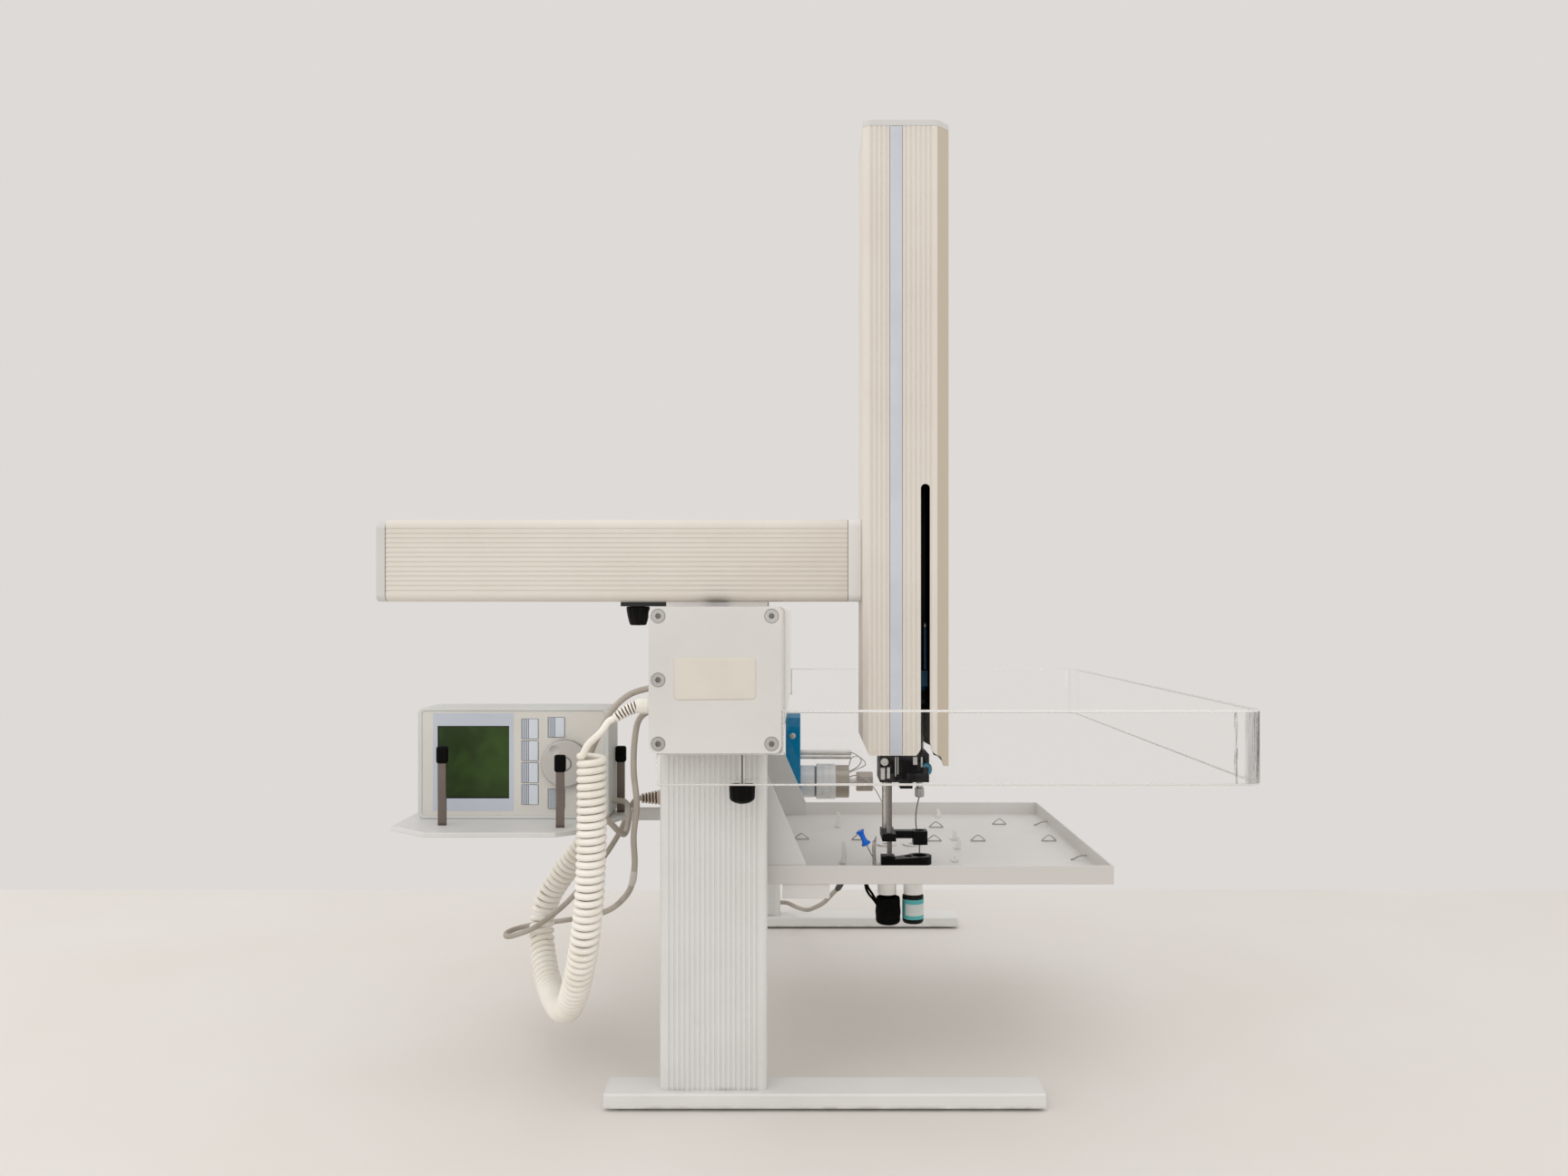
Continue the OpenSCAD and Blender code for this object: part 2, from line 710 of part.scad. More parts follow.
// Arm: ribbed cover with two inner rails, its caps and its drive
module arm_section() {
    inner = [arm_d - 2 * arm_wall, arm_h - 2 * arm_wall];
    difference() {
        union() {
            difference() {
                round_rect(arm_d, arm_h, arm_r);
                round_rect(inner.x, inner.y, arm_r - arm_wall);
            }
            for (side = [-1, 1]) translate([side * (inner.x / 2 - arm_rail_w / 2 + past / 2),
                arm_rail_z - arm_z - arm_h / 2]) square([arm_rail_w + past, arm_rail_h], center = true);
        }
        rotate(90) grooves(arm_h - 2 * arm_r, arm_d);
    }
}
module arm_cover() {
    color("antiquewhite") placed() translate([0, arm_y, 0]) difference() {
        bar_x(arm_cover_x0, arm_cover_x1) translate([0, arm_z + arm_h / 2]) arm_section();
        block([neck_x0 - arm_out - slot_side, -neck_d / 2 - past, arm_z - past],
            [neck_x1 + arm_in + slot_side, neck_d / 2 + past, arm_z + arm_wall + past]);
    }
}
module arm_end_caps() {
    color("lightgray") placed() translate([0, arm_y, arm_z + arm_h / 2]) difference() {
        union() {
            bar_x(arm_x0, arm_cover_x0) translate([0, -arm_wall / 2])
                round_rect(arm_d, arm_h - arm_wall, arm_r);
            bar_x(arm_cover_x1, tower_x) round_rect(arm_d, arm_h, arm_r);
        }
        along_x([arm_cover_x1 - past, 0, spindle_z - arm_z - arm_h / 2], spindle_r + run, 9);
    }
}
module arm_motor() {
    color("dimgray") placed() translate([arm_cover_x0, arm_y, spindle_z]) rotate([0, 90, 0])
        motor(motor_w, arm_motor_len, spindle_r);
}
module arm_spindle() {
    x0 = arm_cover_x0 + arm_motor_len - 16;
    color("silver") placed() along_x([x0, arm_y, spindle_z], spindle_r, arm_cover_x1 + 7 - x0);
}

// Tower: ribbed cover with a slot, top cap, inner spine and lift drive
function tower_outline(wall) = let (w = tower_w - wall, d = tower_d / 2 - wall,
    f = tower_chamfer + wall * (tan(22.5) - 1), r = rear_chamfer + wall * (tan(22.5) - 1))
    [[wall + r, -d], [w - f, -d], [w, f - d], [w, d - f], [w - f, d], [wall + r, d],
    [wall, d - r], [wall, r - d]];
module tower_ribs() {
    for (x = [rear_chamfer + 3:rib_pitch:tower_w - tower_chamfer - 3], side = [-1, 1])
        if (abs(tower_x + x - stripe_x - stripe_w / 2) > stripe_w / 2 + rib_pitch / 2)
            translate([x, side * tower_d / 2])
                square([rib_pitch / 2, 2 * rib_depth], center = true);
    for (y = [tower_chamfer + 3:rib_pitch:tower_d - tower_chamfer - 3])
        translate([tower_w, y - tower_d / 2]) square([2 * rib_depth, rib_pitch / 2], center = true);
    for (side = [-1, 1]) translate([stripe_x - tower_x, side * tower_d / 2 - stripe_t])
        square([stripe_w, 2 * stripe_t]);
}
module tower_cover() {
    z0 = tower_z - lip_drop;
    x0 = slot_x + slot_w / 2;
    x1 = tower_x + tower_w;
    wave = [for (s = lip_steps) [x0 + s.x * (x1 - x0), z0 + s.y * (lip_drop + lip_rise)]];
    slot_x0 = slot_x - slot_w / 2;
    color("antiquewhite") placed() difference() {
        translate([tower_x, tower_y, z0]) linear_extrude(tower_top - top_cap_t - z0) difference() {
            polygon(tower_outline(0));
            polygon(tower_outline(tower_wall));
            tower_ribs();
        }
        bar_y(tower_y - tower_d, tower_y + tower_d) {
            translate([tower_x - past, z0 - past])
                square([slot_x - tower_x + past, lip_drop + past]);
            polygon(concat([[slot_x, z0 - past], [slot_x, tower_z + lip_rise]], wave,
                [[x1 + past, z0], [x1 + past, z0 - past]]));
            polygon([[tower_x - past, tower_z - past], [tower_x + rim_cut.x, tower_z - past],
                [tower_x + rim_cut.x, tower_z], [tower_x, tower_z + rim_cut.y],
                [tower_x - past, tower_z + rim_cut.y]]);
            polygon([[slot_x0 - slot_cut.x, tower_z - past], [slot_x0 - slot_cut.x, tower_z],
                [slot_x0, tower_z + slot_cut.y], [slot_x, tower_z + slot_cut.y],
                [slot_x, tower_z - past]]);
        }
        bar_y(tower_y - tower_d, tower_y) {
            translate([slot_x0, z0 - past])
                square([slot_w, slot_h + lip_drop + past - slot_w / 2]);
            translate([slot_x, tower_z + slot_h - slot_w / 2]) circle(slot_w / 2);
        }
    }
}
module tower_top_cap() {
    color("gainsboro") placed() translate([tower_x, tower_y, tower_top - top_cap_t]) {
        linear_extrude(top_cap_t) polygon(tower_outline(0));
        translate([0, 0, -3]) linear_extrude(3 + past) polygon(tower_outline(tower_wall + run));
    }
}
module tower_spine() {
    x0 = tower_x + tower_wall;
    color("dimgray") placed() difference() {
        union() {
            block([x0, tower_y - spine_w / 2, tower_z + 10],
                [spine_x1, tower_y + spine_w / 2, motor_z + lift_motor_h]);
            block([spine_x1 - past, tower_y - lift_rail_d / 2, rail_z0],
                [spine_x1 + lift_rail_w, tower_y + lift_rail_d / 2, motor_z - 4]);
            block([spine_x1 - past, lift_y - 7.5, bearing_z],
                [lift_x + 7.5, lift_y + 7.5, bearing_z + bearing_h]);
        }
        translate([lift_x, lift_y, bearing_z + 2]) cylinder(r = spindle_r + run, h = bearing_h);
    }
}
module lift_motor() {
    color("black") placed() translate([lift_x, lift_y, motor_z + lift_motor_h])
        mirror([0, 0, 1]) motor(lift_motor_w, lift_motor_h, spindle_r);
}
module lift_spindle() {
    z0 = bearing_z + 2 + gap;
    color("silver") placed() translate([lift_x, lift_y, z0])
        cylinder(r = spindle_r, h = motor_z + 16 - z0);
}

// Syringe carriage: runner on the spine's rail, nut on the spindle, block under the tower
module rail_runner(z0, z1) {
    rail_d = lift_rail_d + 2 * gap;
    difference() {
        block([spine_x1 + gap, tower_y - rail_d / 2 - 7, z0],
            [web_x1, tower_y + rail_d / 2 + 7, z1]);
        block([spine_x1 - past, tower_y - rail_d / 2, z0 - past],
            [spine_x1 + lift_rail_w + gap, tower_y + rail_d / 2, z1 + past]);
    }
}
module syringe_carriage() {
    barrel_r = barrel_d / 2 + run;
    clamp_x1 = needle_x + barrel_r + 3;
    nut_z = runner_z0 + 6;
    nut_y0 = tower_y + lift_rail_d / 2 + gap + 5;
    color("#1c1c1e") placed() difference() {
        union() {
            rail_runner(runner_z0, runner_z1);
            block([web_x0, tower_y - 8, block_z1 - past], [web_x1, tower_y + 6, runner_z0 + past]);
            block([block_x0, tower_y - block_d / 2, block_z0],
                [clamp_x1, tower_y + block_d / 2, block_z1]);
            block([block_x0 + bump_x[0], tower_y - block_d / 2, block_z0 - bump_h],
                [block_x0 + bump_x[1], tower_y - 6, block_z0 + past]);
            block([web_x1 - past, tower_y - 8, clamp_z],
                [clamp_x1, tower_y + 8, clamp_z + clamp_h]);
            block([web_x0 + 1, nut_y0, nut_z], [lift_x + 9, lift_y + 8, nut_z + 18]);
        }
        translate([needle_x, tower_y, block_z0 - past])
            cylinder(r = barrel_r, h = clamp_z - block_z0 + 12);
        translate([lift_x, lift_y, nut_z - past])
            cylinder(r = spindle_r + gap, h = 18 + 2 * past);
        for (i = [0, 1]) translate([rod_xs[i], rod_y[i], block_z0 - past])
            cylinder(r = rod_d / 2 + run, h = block_z1 - block_z0 + 2 * past);
    }
}
module syringe_barrel() {
    color("lightcyan") placed() translate([needle_x, tower_y, 0]) difference() {
        union() {
            translate([0, 0, block_z0]) cylinder(d = barrel_d, h = barrel_z1 - block_z0);
            translate([0, 0, clamp_z + clamp_h]) cylinder(d = barrel_d + 5, h = barrel_lip);
        }
        translate([0, 0, block_z0 + 8])
            cylinder(r = plunger_d / 2 + run, h = barrel_z1 - block_z0);
    }
}
module needle() {
    z1 = block_z0;
    z0 = guide_z + 9;
    bow = 3;
    path = [for (i = [0:10]) let (t = i / 10)
        [needle_x - bow * sin(180 * t) * (1 - t), tower_y, z1 - nut_h + past - t * (z1 - nut_h - z0)]];
    color("silver") placed() {
        translate([needle_x, tower_y, z1 - nut_h]) cylinder(r = nut_r, h = nut_h);
        tube(path, needle_d / 2, 8);
    }
}
module plunger() {
    color("steelblue") placed() {
        translate([needle_x, tower_y, block_z0 + 14])
            cylinder(d = plunger_d, h = button_z + 4 - block_z0 - 14);
        translate([needle_x, tower_y, button_z]) cylinder(r = 6, h = 5);
        block([web_x1 + 2, tower_y - 7, button_z + 4], [needle_x + 7, tower_y + 7, button_z + 19]);
        block([web_x1 + 2, tower_y - 7, button_z + 4], [web_x1 + 6, tower_y + 7, slide_z1]);
        block([web_x1 - past, tower_y - 7, slide_z0], [web_x1 + 2 + past, tower_y + 7, slide_z1]);
        rail_runner(slide_z0, slide_z1);
    }
}

// Needle guide: two rods in the carriage's block carry the upper guide and the lower ring
module guide_rods() {
    bottom = [guide_z + 5, guide_top_z + 1];
    lever_x1 = rod_x - 8;
    color("lightgray") placed() {
        for (i = [0, 1]) translate([rod_xs[i], rod_y[i], 0]) {
            translate([0, 0, bottom[i]]) cylinder(d = rod_d, h = block_z1 + gap - bottom[i] + past);
            translate([0, 0, block_z1 + gap]) cylinder(r = rod_d / 2 + 1.6, h = collar_t);
        }
        block([lever_x1 - 5, rod_y[0] - 4, guide_z + 1], [lever_x1, rod_y[0] + 4, guide_z + 4]);
        block([lever_x1 - 5 - lever_t, rod_y[0] - 4, guide_z + 1],
            [lever_x1 - 5, rod_y[0] + 4, guide_z + 1 + lever_h]);
    }
}
module needle_guide() {
    fit = rod_d / 2 + run;
    color("#151515") placed() difference() {
        union() {
            block([rod_x - 8, rod_y[0] - 7, guide_z], [rod_x + 5, rod_y[0] + 7, guide_z + guide_low_h]);
            translate([needle_x, tower_y, guide_z + 1]) cylinder(r = ring_r, h = guide_low_h - 4);
            translate([0, 0, guide_z + 1]) linear_extrude(guide_low_h - 4) polygon([
                [rod_x, rod_y[0] - 6], [needle_x, tower_y - ring_r],
                [needle_x, tower_y + ring_r], [rod_x, rod_y[0] + 6]]);
            block([rod_x - 7, rod_y[0] - 6, guide_top_z],
                [rod_x + 6, rod_y[1] + 6, guide_top_z + guide_top_h]);
            block([rod_x + 5, tower_y - 5, guide_top_z],
                [needle_x, tower_y + 5, guide_top_z + guide_top_h]);
            block([needle_x - 6.5, tower_y - 7, guide_top_z - 6],
                [needle_x + 7, tower_y + 7, guide_top_z + guide_top_h]);
        }
        translate([needle_x, tower_y, guide_z - past])
            cylinder(r = ring_hole_r, h = guide_low_h + past);
        translate([rod_x + 19, tower_y - 4, guide_z - past]) cylinder(r = 4, h = guide_low_h + past);
        translate([needle_x, tower_y, guide_top_z - 7]) cylinder(r = guide_bore_r, h = 20);
        translate([rod_x, rod_y[0], guide_z + 5]) cylinder(r = fit, h = 60);
        translate([rod_xs[1], rod_y[1], guide_top_z + 1]) cylinder(r = fit, h = 20);
    }
}
module push_pin() {
    lever_x0 = rod_x - 13 - lever_t;
    tilt = 26;
    tip = [lever_x0 - 0.9, rod_y[0], guide_z + 6];
    color("royalblue") placed() translate(tip) rotate([0, -tilt, 0]) {
        cylinder(r = 0.6, h = 16);
        translate([0, 0, 15]) cylinder(r = 4.6, h = 2.2);
        translate([0, 0, 17]) cylinder(r1 = 3.2, r2 = 2.3, h = 5);
        translate([0, 0, 22]) cylinder(r1 = 2.3, r2 = 2.9, h = 6);
        translate([0, 0, 28]) cylinder(r = 4.2, h = 1.8);
    }
}

// Tray: folded pan with vial holes and a channel below, hung from the beam by a welded bracket
module tray_pan() {
    bottom = tray_z - sheet;
    channel_in = [channel_x[0] + sheet, channel_x[1] - sheet];
    color("gainsboro") placed() difference() {
        union() {
            block([-tray_back, tray_y0, bottom], [tray_front, tray_y1, tray_z + rim_h]);
            block([channel_x[0], tray_y0 + sheet, bottom - channel_h],
                [channel_x[1], tray_y1 - sheet, bottom + past / 2]);
        }
        block([-tray_back - past, tray_y0 + sheet, tray_z],
            [tray_front - sheet, tray_y1 - sheet, tray_z + rim_h + past]);
        block([channel_in[0], tray_y0 + 2 * sheet, bottom - channel_h + sheet],
            [channel_in[1], tray_y1, bottom]);
        for (x = vial_x) translate([x, vial_y, bottom - past])
            cylinder(r = spigot_r + run, h = sheet + 2 * past);
    }
}
module tray_bracket() {
    y0 = tray_y0 + sheet;
    y1 = tray_y1 - sheet;
    gusset = [[-tray_back, z_beam], [gusset_top, z_beam], [gusset_front, tray_z + rim_h],
        [gusset_front, tray_z], [-tray_back, tray_z]];
    color("lightgray") placed() {
        bar_y(y0, y0 + sheet) polygon(gusset);
        bar_y(y1 - sheet, y1) polygon(gusset);
        block([-tray_back, y0, tray_z], [-tray_back + sheet, y1, z_beam]);
        for (y = [y0, y1 - flange_w])
            block([-tray_back, y, z_beam - sheet], [gusset_top, y + flange_w, z_beam]);
    }
}
module wash_collars() {
    bottom = tray_z - sheet;
    color("white") placed() for (x = vial_x) translate([x, vial_y, 0]) difference() {
        union() {
            translate([0, 0, bottom - collar_h]) cylinder(d = vial_d - 3, h = collar_h);
            translate([0, 0, bottom - past]) cylinder(r = spigot_r, h = sheet + 2 * past);
            translate([0, 0, tray_z]) cylinder(d = vial_d - 2, h = collar_lip);
        }
        translate([0, 0, bottom - collar_h + 4]) cylinder(r = wash_r, h = collar_h + sheet + past + 4);
    }
}
module wash_vials() {
    z1 = tray_z - sheet - collar_h;
    color("#2c3a3c") placed() for (x = vial_x) translate([x, vial_y, z1]) mirror([0, 0, 1])
        rotate_extrude() {
            square([vial_d / 2, vial_h - 3]);
            square([vial_d / 2 - 3, vial_h]);
            translate([vial_d / 2 - 3, vial_h - 3]) intersection() {
                circle(3);
                square(3);
            }
        }
}

// Valve: blue bracket under the beam, actuator behind it and the valve in front
module valve_bracket() {
    color("#0a6890") placed() translate([0, valve_y, 0]) difference() {
        bar_y(-bracket_d / 2, bracket_d / 2) polygon([[-10, z_beam - bracket_flange], [-10, z_beam],
            [bracket_x0 - 6, z_beam], [bracket_x0, bracket_top], [bracket_x1, bracket_top],
            [bracket_x1, valve_z - bracket_below], [bracket_x0, valve_z - bracket_below],
            [bracket_x0, bracket_top - bracket_flange], [bracket_x0 - 6, z_beam - bracket_flange]]);
        along_x([bracket_x0 - past, 0, valve_z], rotor_shaft_r + run, bracket_t + 2 * past);
    }
}
module valve_actuator() {
    color("darkgray") placed() translate([0, valve_y, valve_z]) difference() {
        bar_x(bracket_x0 - actuator_len, bracket_x0) round_rect(actuator_w, actuator_w, 5);
        along_x([bracket_x0 - 20, 0, 0], rotor_shaft_r + run, 20 + past);
    }
}
module valve_body() {
    x = [0, body_len, body_len + collar_len, body_len + collar_len + stator_len];
    color("silver") placed() translate([bracket_x1, valve_y, valve_z]) difference() {
        union() {
            along_x([x[0], 0, 0], body_r, body_len);
            along_x([x[1], 0, 0], collar_d / 2, collar_len);
            along_x([x[2], 0, 0], body_r + 0.5, stator_len);
        }
        along_x([-past, 0, 0], rotor_shaft_r + gap, body_len + 3);
        along_x([cavity_x - bracket_x1 - gap, 0, 0], rotor_r + gap, rotor_t + 2 * gap);
    }
}
module valve_rotor() {
    color("gray") placed() translate([0, valve_y, valve_z]) {
        along_x([bracket_x0 - 18, 0, 0], rotor_shaft_r, cavity_x - bracket_x0 + 18);
        difference() {
            along_x([cavity_x, 0, 0], rotor_r, rotor_t);
            block([cavity_x + rotor_t - 1, -1, 3], [cavity_x + rotor_t + past, 1, 9]);
        }
    }
}
module valve_fittings() {
    color("silver") placed() translate([0, valve_y, valve_z]) {
        difference() {
            union() {
                along_x([body_x1, 0, 0], 4, 9);
                along_x([body_x1 + 9, 0, 0], fitting_r, 21);
            }
            along_x([body_x1 + 20, 0, 0], port_r, 10 + past);
        }
        along_x([bracket_x1, -10, 37.5], stay_r[0], stay_len);
        along_x([bracket_x1, 8, 29.5], stay_r[1], stay_len);
    }
}

// Guard: one clear sheet bent round the tray, with a tongue and a tab under the beam at each end
module guard() {
    x0 = beam_w / 2 + gap;
    half = [guard_front + 200, guard_y1 - guard_y0];
    centre = [guard_front - half.x / 2, (guard_y0 + guard_y1) / 2];
    color("azure", 0.4) placed() difference() {
        union() {
            translate([0, 0, guard_z0]) linear_extrude(guard_h) difference() {
                translate(centre) round_rect(half.x, half.y, guard_bend);
                translate(centre)
                    round_rect(half.x - 2 * guard_t, half.y - 2 * guard_t, guard_bend - guard_t);
                translate([-half.x, guard_y0 - past]) square([half.x + x0, half.y + 2 * past]);
            }
            for (y = [guard_y0, guard_y1 - guard_t])
                block([tongue_x, y, guard_z0], [x0 + past, y + guard_t, z_beam]);
            for (y = [guard_y0, guard_y1 - guard_t - tab_d]) block([tab_x - tab_w / 2, y, guard_z0],
                [tab_x + tab_w / 2, y + guard_t + tab_d, guard_z0 + guard_t]);
        }
        for (y = [guard_y0 + knob_in, guard_y1 - knob_in]) translate([tab_x, y, guard_z0 - past])
            cylinder(r = stem_r + run, h = guard_t + 2 * past);
    }
}
module guard_knob(y) {
    color("black") placed() translate([tab_x, y, 0]) {
        translate([0, 0, knob_z1 - knob_h]) difference() {
            union() {
                cylinder(d1 = 0.68 * knob_d, d2 = knob_d, h = knob_h / 2);
                translate([0, 0, knob_h / 2]) cylinder(d = knob_d, h = knob_h / 2);
            }
            for (a = [0:60:300]) rotate(a) translate([knob_d / 2 + 1.4, 0, -past])
                cylinder(r = 3, h = knob_h + 2 * past);
        }
        translate([0, 0, knob_z1 - past])
            cylinder(r = stem_r, h = z_beam + beam_wall - gap - knob_z1 + past);
    }
}
module near_guard_knob() guard_knob(guard_y0 + knob_in);
module far_guard_knob() guard_knob(guard_y1 - knob_in);

// Terminal: shelf with posts, case, front panel, display, dial and keys
module terminal_shelf() {
    end_x = -tray_back;
    color("lightgray") placed() {
        translate([0, 0, shelf_z - shelf_t]) linear_extrude(shelf_t) polygon(shelf_edge);
        block([term_x0 - 12.5, shelf_back - sheet, shelf_z - shelf_flange],
            [end_x, shelf_back, shelf_z]);
        block([end_x - sheet, shelf_back - 28, shelf_z - shelf_flange], [end_x, shelf_back, shelf_z]);
    }
}
module shelf_posts() {
    color("dimgray") placed() for (i = [0:2]) translate([post_at[i].x, post_at[i].y, shelf_z])
        translate([-post_w / 2, -post_t / 2, 0]) cube([post_w, post_t, post_h[i]]);
}
module post_caps() {
    color("black") placed() for (i = [0:2])
        translate([post_at[i].x, post_at[i].y, shelf_z + post_h[i]]) linear_extrude(post_cap_h)
            round_rect(post_cap_w, post_t + 4, 2.5);
}
module terminal_case() {
    centre = [(term_x0 + term_x1) / 2, shelf_z + term_h / 2];
    color("lightgray") placed() difference() {
        bar_y(term_y0, term_y1) translate(centre) round_rect(term_w, term_h, 5);
        bar_y(term_y0 - past, term_y1 - 3) translate(centre)
            round_rect(term_w - 2 * term_wall, term_h - 2 * 3, 3);
    }
}
function on_front(at) = [term_x0 + at.x, shelf_z + at.y];
module terminal_panel() {
    centre = [(term_x0 + term_x1) / 2, shelf_z + term_h / 2];
    color("linen") placed() difference() {
        bar_y(panel_y0, panel_y1) difference() {
            translate(centre)
                round_rect(term_w - 2 * term_wall - 2 * run, term_h - 2 * 3 - 2 * run, 3);
            translate(on_front(display_at)) square([display_w, display_h]);
            for (i = [0:3]) translate(on_front([key_x - gap, key_z + i * key_step - gap]))
                square([key_w + 2 * gap, key_h + 2 * gap]);
            for (z = side_key_z) translate(on_front([side_key_x - gap, z - gap]))
                square([key_w + 2 * gap, key_h + 2 * gap]);
        }
        translate([term_x0 + dial_at.x, panel_y0 - past, shelf_z + dial_at.y]) rotate([-90, 0, 0])
            cylinder(r = shaft_r + run, h = panel_t + 2 * past);
    }
}
module terminal_display() {
    color("#34542a") placed() bar_y(panel_y0 + 0.2, panel_y1) translate(on_front(display_at))
        square([display_w, display_h]);
}
module jog_dial() {
    at = [term_x0 + dial_at.x, panel_y0 - gap, shelf_z + dial_at.y];
    color("silver") placed() translate(at) rotate([90, 0, 0]) difference() {
        union() {
            cylinder(d = dial_d, h = dial_t - 1.5);
            translate([0, 0, dial_t - 1.5]) cylinder(d1 = dial_d, d2 = dial_d - 3, h = 1.5);
            translate([0, 0, -panel_t - 5]) cylinder(r = shaft_r, h = panel_t + 5 + past);
        }
        translate([-9.5, 13.3, dial_t + 4.5]) sphere(6.5);
        translate([0, 0, dial_t - 0.8]) difference() {
            cylinder(r = 6.6, h = 2);
            cylinder(r = 5.6, h = 2);
        }
    }
}
module key(x, z) {
    at = on_front([x, z]);
    color("lightsteelblue") placed() {
        bar_y(panel_y0 - key_proud, panel_y1 + gap + key_lip_t) translate(at) square([key_w, key_h]);
        bar_y(panel_y1 + gap, panel_y1 + gap + key_lip_t) translate(at - [key_lip, key_lip])
            square([key_w + 2 * key_lip, key_h + 2 * key_lip]);
    }
}
module key_1() key(key_x, key_z);
module key_2() key(key_x, key_z + key_step);
module key_3() key(key_x, key_z + 2 * key_step);
module key_4() key(key_x, key_z + 3 * key_step);
module key_stop() key(side_key_x, side_key_z[0]);
module key_back() key(side_key_x, side_key_z[1]);

// Cords
module cord_socket() {
    x0 = -beam_w / 2;
    color("whitesmoke") placed() {
        along_x([x0 - socket_len, socket_y, socket_z], socket_r, socket_len);
        translate([x0 - socket_len, socket_y, socket_z]) {
            sphere(socket_r - 0.5);
            rotate([0, -180 + boot_tilt, 0]) cylinder(r1 = socket_r - 0.8, r2 = cord_r + 1, h = boot_len);
        }
    }
}

// The curls wind round the axis: an eighth of a turn a ring, further apart where the axis bends
axis_fine = curve(cord_axis, 10);
function bend(p, i) = let (a = max(i - 1, 0), b = min(i + 1, len(p) - 1))
    norm(tangent(p, b) - tangent(p, a)) / norm(p[b] - p[a]);
function turned(p, i) = 360 / curl_pitch * norm(p[i + 1] - p[i]) * (1 - curl_r * bend(p, i));
axis_turn = [for (i = 0, a = 0; i < len(axis_fine);
    a = i < len(axis_fine) - 1 ? a + turned(axis_fine, i) : a, i = i + 1) a];
axis_by = [for (k = [0:2]) [for (i = [0:len(axis_fine) - 1]) [axis_turn[i], axis_fine[i][k]]]];
function axis_at(a) = [for (k = [0:2]) lookup(a, axis_by[k])];
curls = floor(axis_turn[len(axis_turn) - 1] / 360);
curl_side = [0.93, 0.35, 0];
function curl_point(a) = let (t = unit(axis_at(a + 5) - axis_at(max(a - 5, 0))),
    u = square_to(curl_side, t), open = min(1, a / 360, (curls * 360 - a) / 360))
    axis_at(a) + curl_r * open * (cos(a) * u + sin(a) * cross(t, u));
curl_path = [for (i = [0:curls * curl_rings]) curl_point(i * 360 / curl_rings)];
cord_path = concat(cord_in, curl_path, curve(cord_out, 2));
near_gaps = [for (i = [0:len(curl_path) - 1], k = [curl_rings - 2:curl_rings + 2])
    if (i + k < len(curl_path)) norm(curl_path[i + k] - curl_path[i]) - curl_wire];
echo(curls = curls, least_gap = min(near_gaps));
module curly_cord() color("ivory") placed() tube(cord_path, cord_r, curl_sides);

module grey_leads() {
    color("darkgray") placed() {
        tube(curve(terminal_lead, 2), lead_d / 2, 8);
        tube(curve(link_lead, 2), lead_d / 2, 8);
        tube(curve(tray_lead, 2), lead_d / 2, 8);
    }
}
module lead_plugs() {
    start = link_lead[len(link_lead) - 1];
    color("tan") placed() {
        along_x(start, lead_d / 2 + 2.5, 16);
        block([start.x + 16, start.y - 9, start.z - 9], [-tray_back - 6, start.y + 9, start.z + 9]);
        block([-tray_back - 6, start.y - 13, start.z - 9.5], [-tray_back, start.y + 13, start.z + 13]);
    }
}

near_foot();
far_foot();
foot_pads();
near_column();
far_column();
beam();
near_end_cap();
far_end_cap();
end_cap_screws();
rail_motor();
rail_belt();
rail_pulley();
rail_idler();
tray_pan();
tray_bracket();
wash_collars();
wash_vials();
valve_bracket();
valve_actuator();
valve_body();
valve_rotor();
valve_fittings();
guard();
near_guard_knob();
far_guard_knob();
terminal_shelf();
shelf_posts();
post_caps();
terminal_case();
terminal_panel();
terminal_display();
jog_dial();
key_1();
key_2();
key_3();
key_4();
key_stop();
key_back();
cord_socket();
curly_cord();
grey_leads();
lead_plugs();
carriage();
arm_lock_knob();
arm_cover();
arm_end_caps();
arm_motor();
arm_spindle();
tower_cover();
tower_top_cap();
tower_spine();
lift_motor();
lift_spindle();
syringe_carriage();
guide_rods();
needle_guide();
push_pin();
syringe_barrel();
needle();
plunger();
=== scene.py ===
import math

import bmesh
import bpy
import numpy as np
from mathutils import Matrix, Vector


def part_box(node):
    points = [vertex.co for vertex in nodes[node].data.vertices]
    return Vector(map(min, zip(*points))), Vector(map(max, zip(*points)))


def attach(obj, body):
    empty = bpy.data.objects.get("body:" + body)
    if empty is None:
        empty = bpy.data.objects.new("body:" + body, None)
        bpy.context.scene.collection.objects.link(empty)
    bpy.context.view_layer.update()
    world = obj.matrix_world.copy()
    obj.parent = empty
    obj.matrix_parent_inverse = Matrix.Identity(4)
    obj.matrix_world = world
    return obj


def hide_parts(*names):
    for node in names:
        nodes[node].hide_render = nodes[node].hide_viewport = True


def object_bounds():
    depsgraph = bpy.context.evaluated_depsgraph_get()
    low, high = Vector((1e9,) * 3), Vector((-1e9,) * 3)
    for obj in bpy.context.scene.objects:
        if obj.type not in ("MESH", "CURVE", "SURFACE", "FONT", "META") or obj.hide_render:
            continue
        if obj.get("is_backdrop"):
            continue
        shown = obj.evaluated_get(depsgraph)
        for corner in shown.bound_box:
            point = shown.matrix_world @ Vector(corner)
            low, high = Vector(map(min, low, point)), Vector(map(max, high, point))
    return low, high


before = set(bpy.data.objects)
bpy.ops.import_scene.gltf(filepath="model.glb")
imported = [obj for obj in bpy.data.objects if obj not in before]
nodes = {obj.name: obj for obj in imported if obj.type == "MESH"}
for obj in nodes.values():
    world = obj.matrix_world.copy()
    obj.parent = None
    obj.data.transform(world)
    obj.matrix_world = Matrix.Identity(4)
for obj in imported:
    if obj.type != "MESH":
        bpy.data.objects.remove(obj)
cad_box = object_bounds()


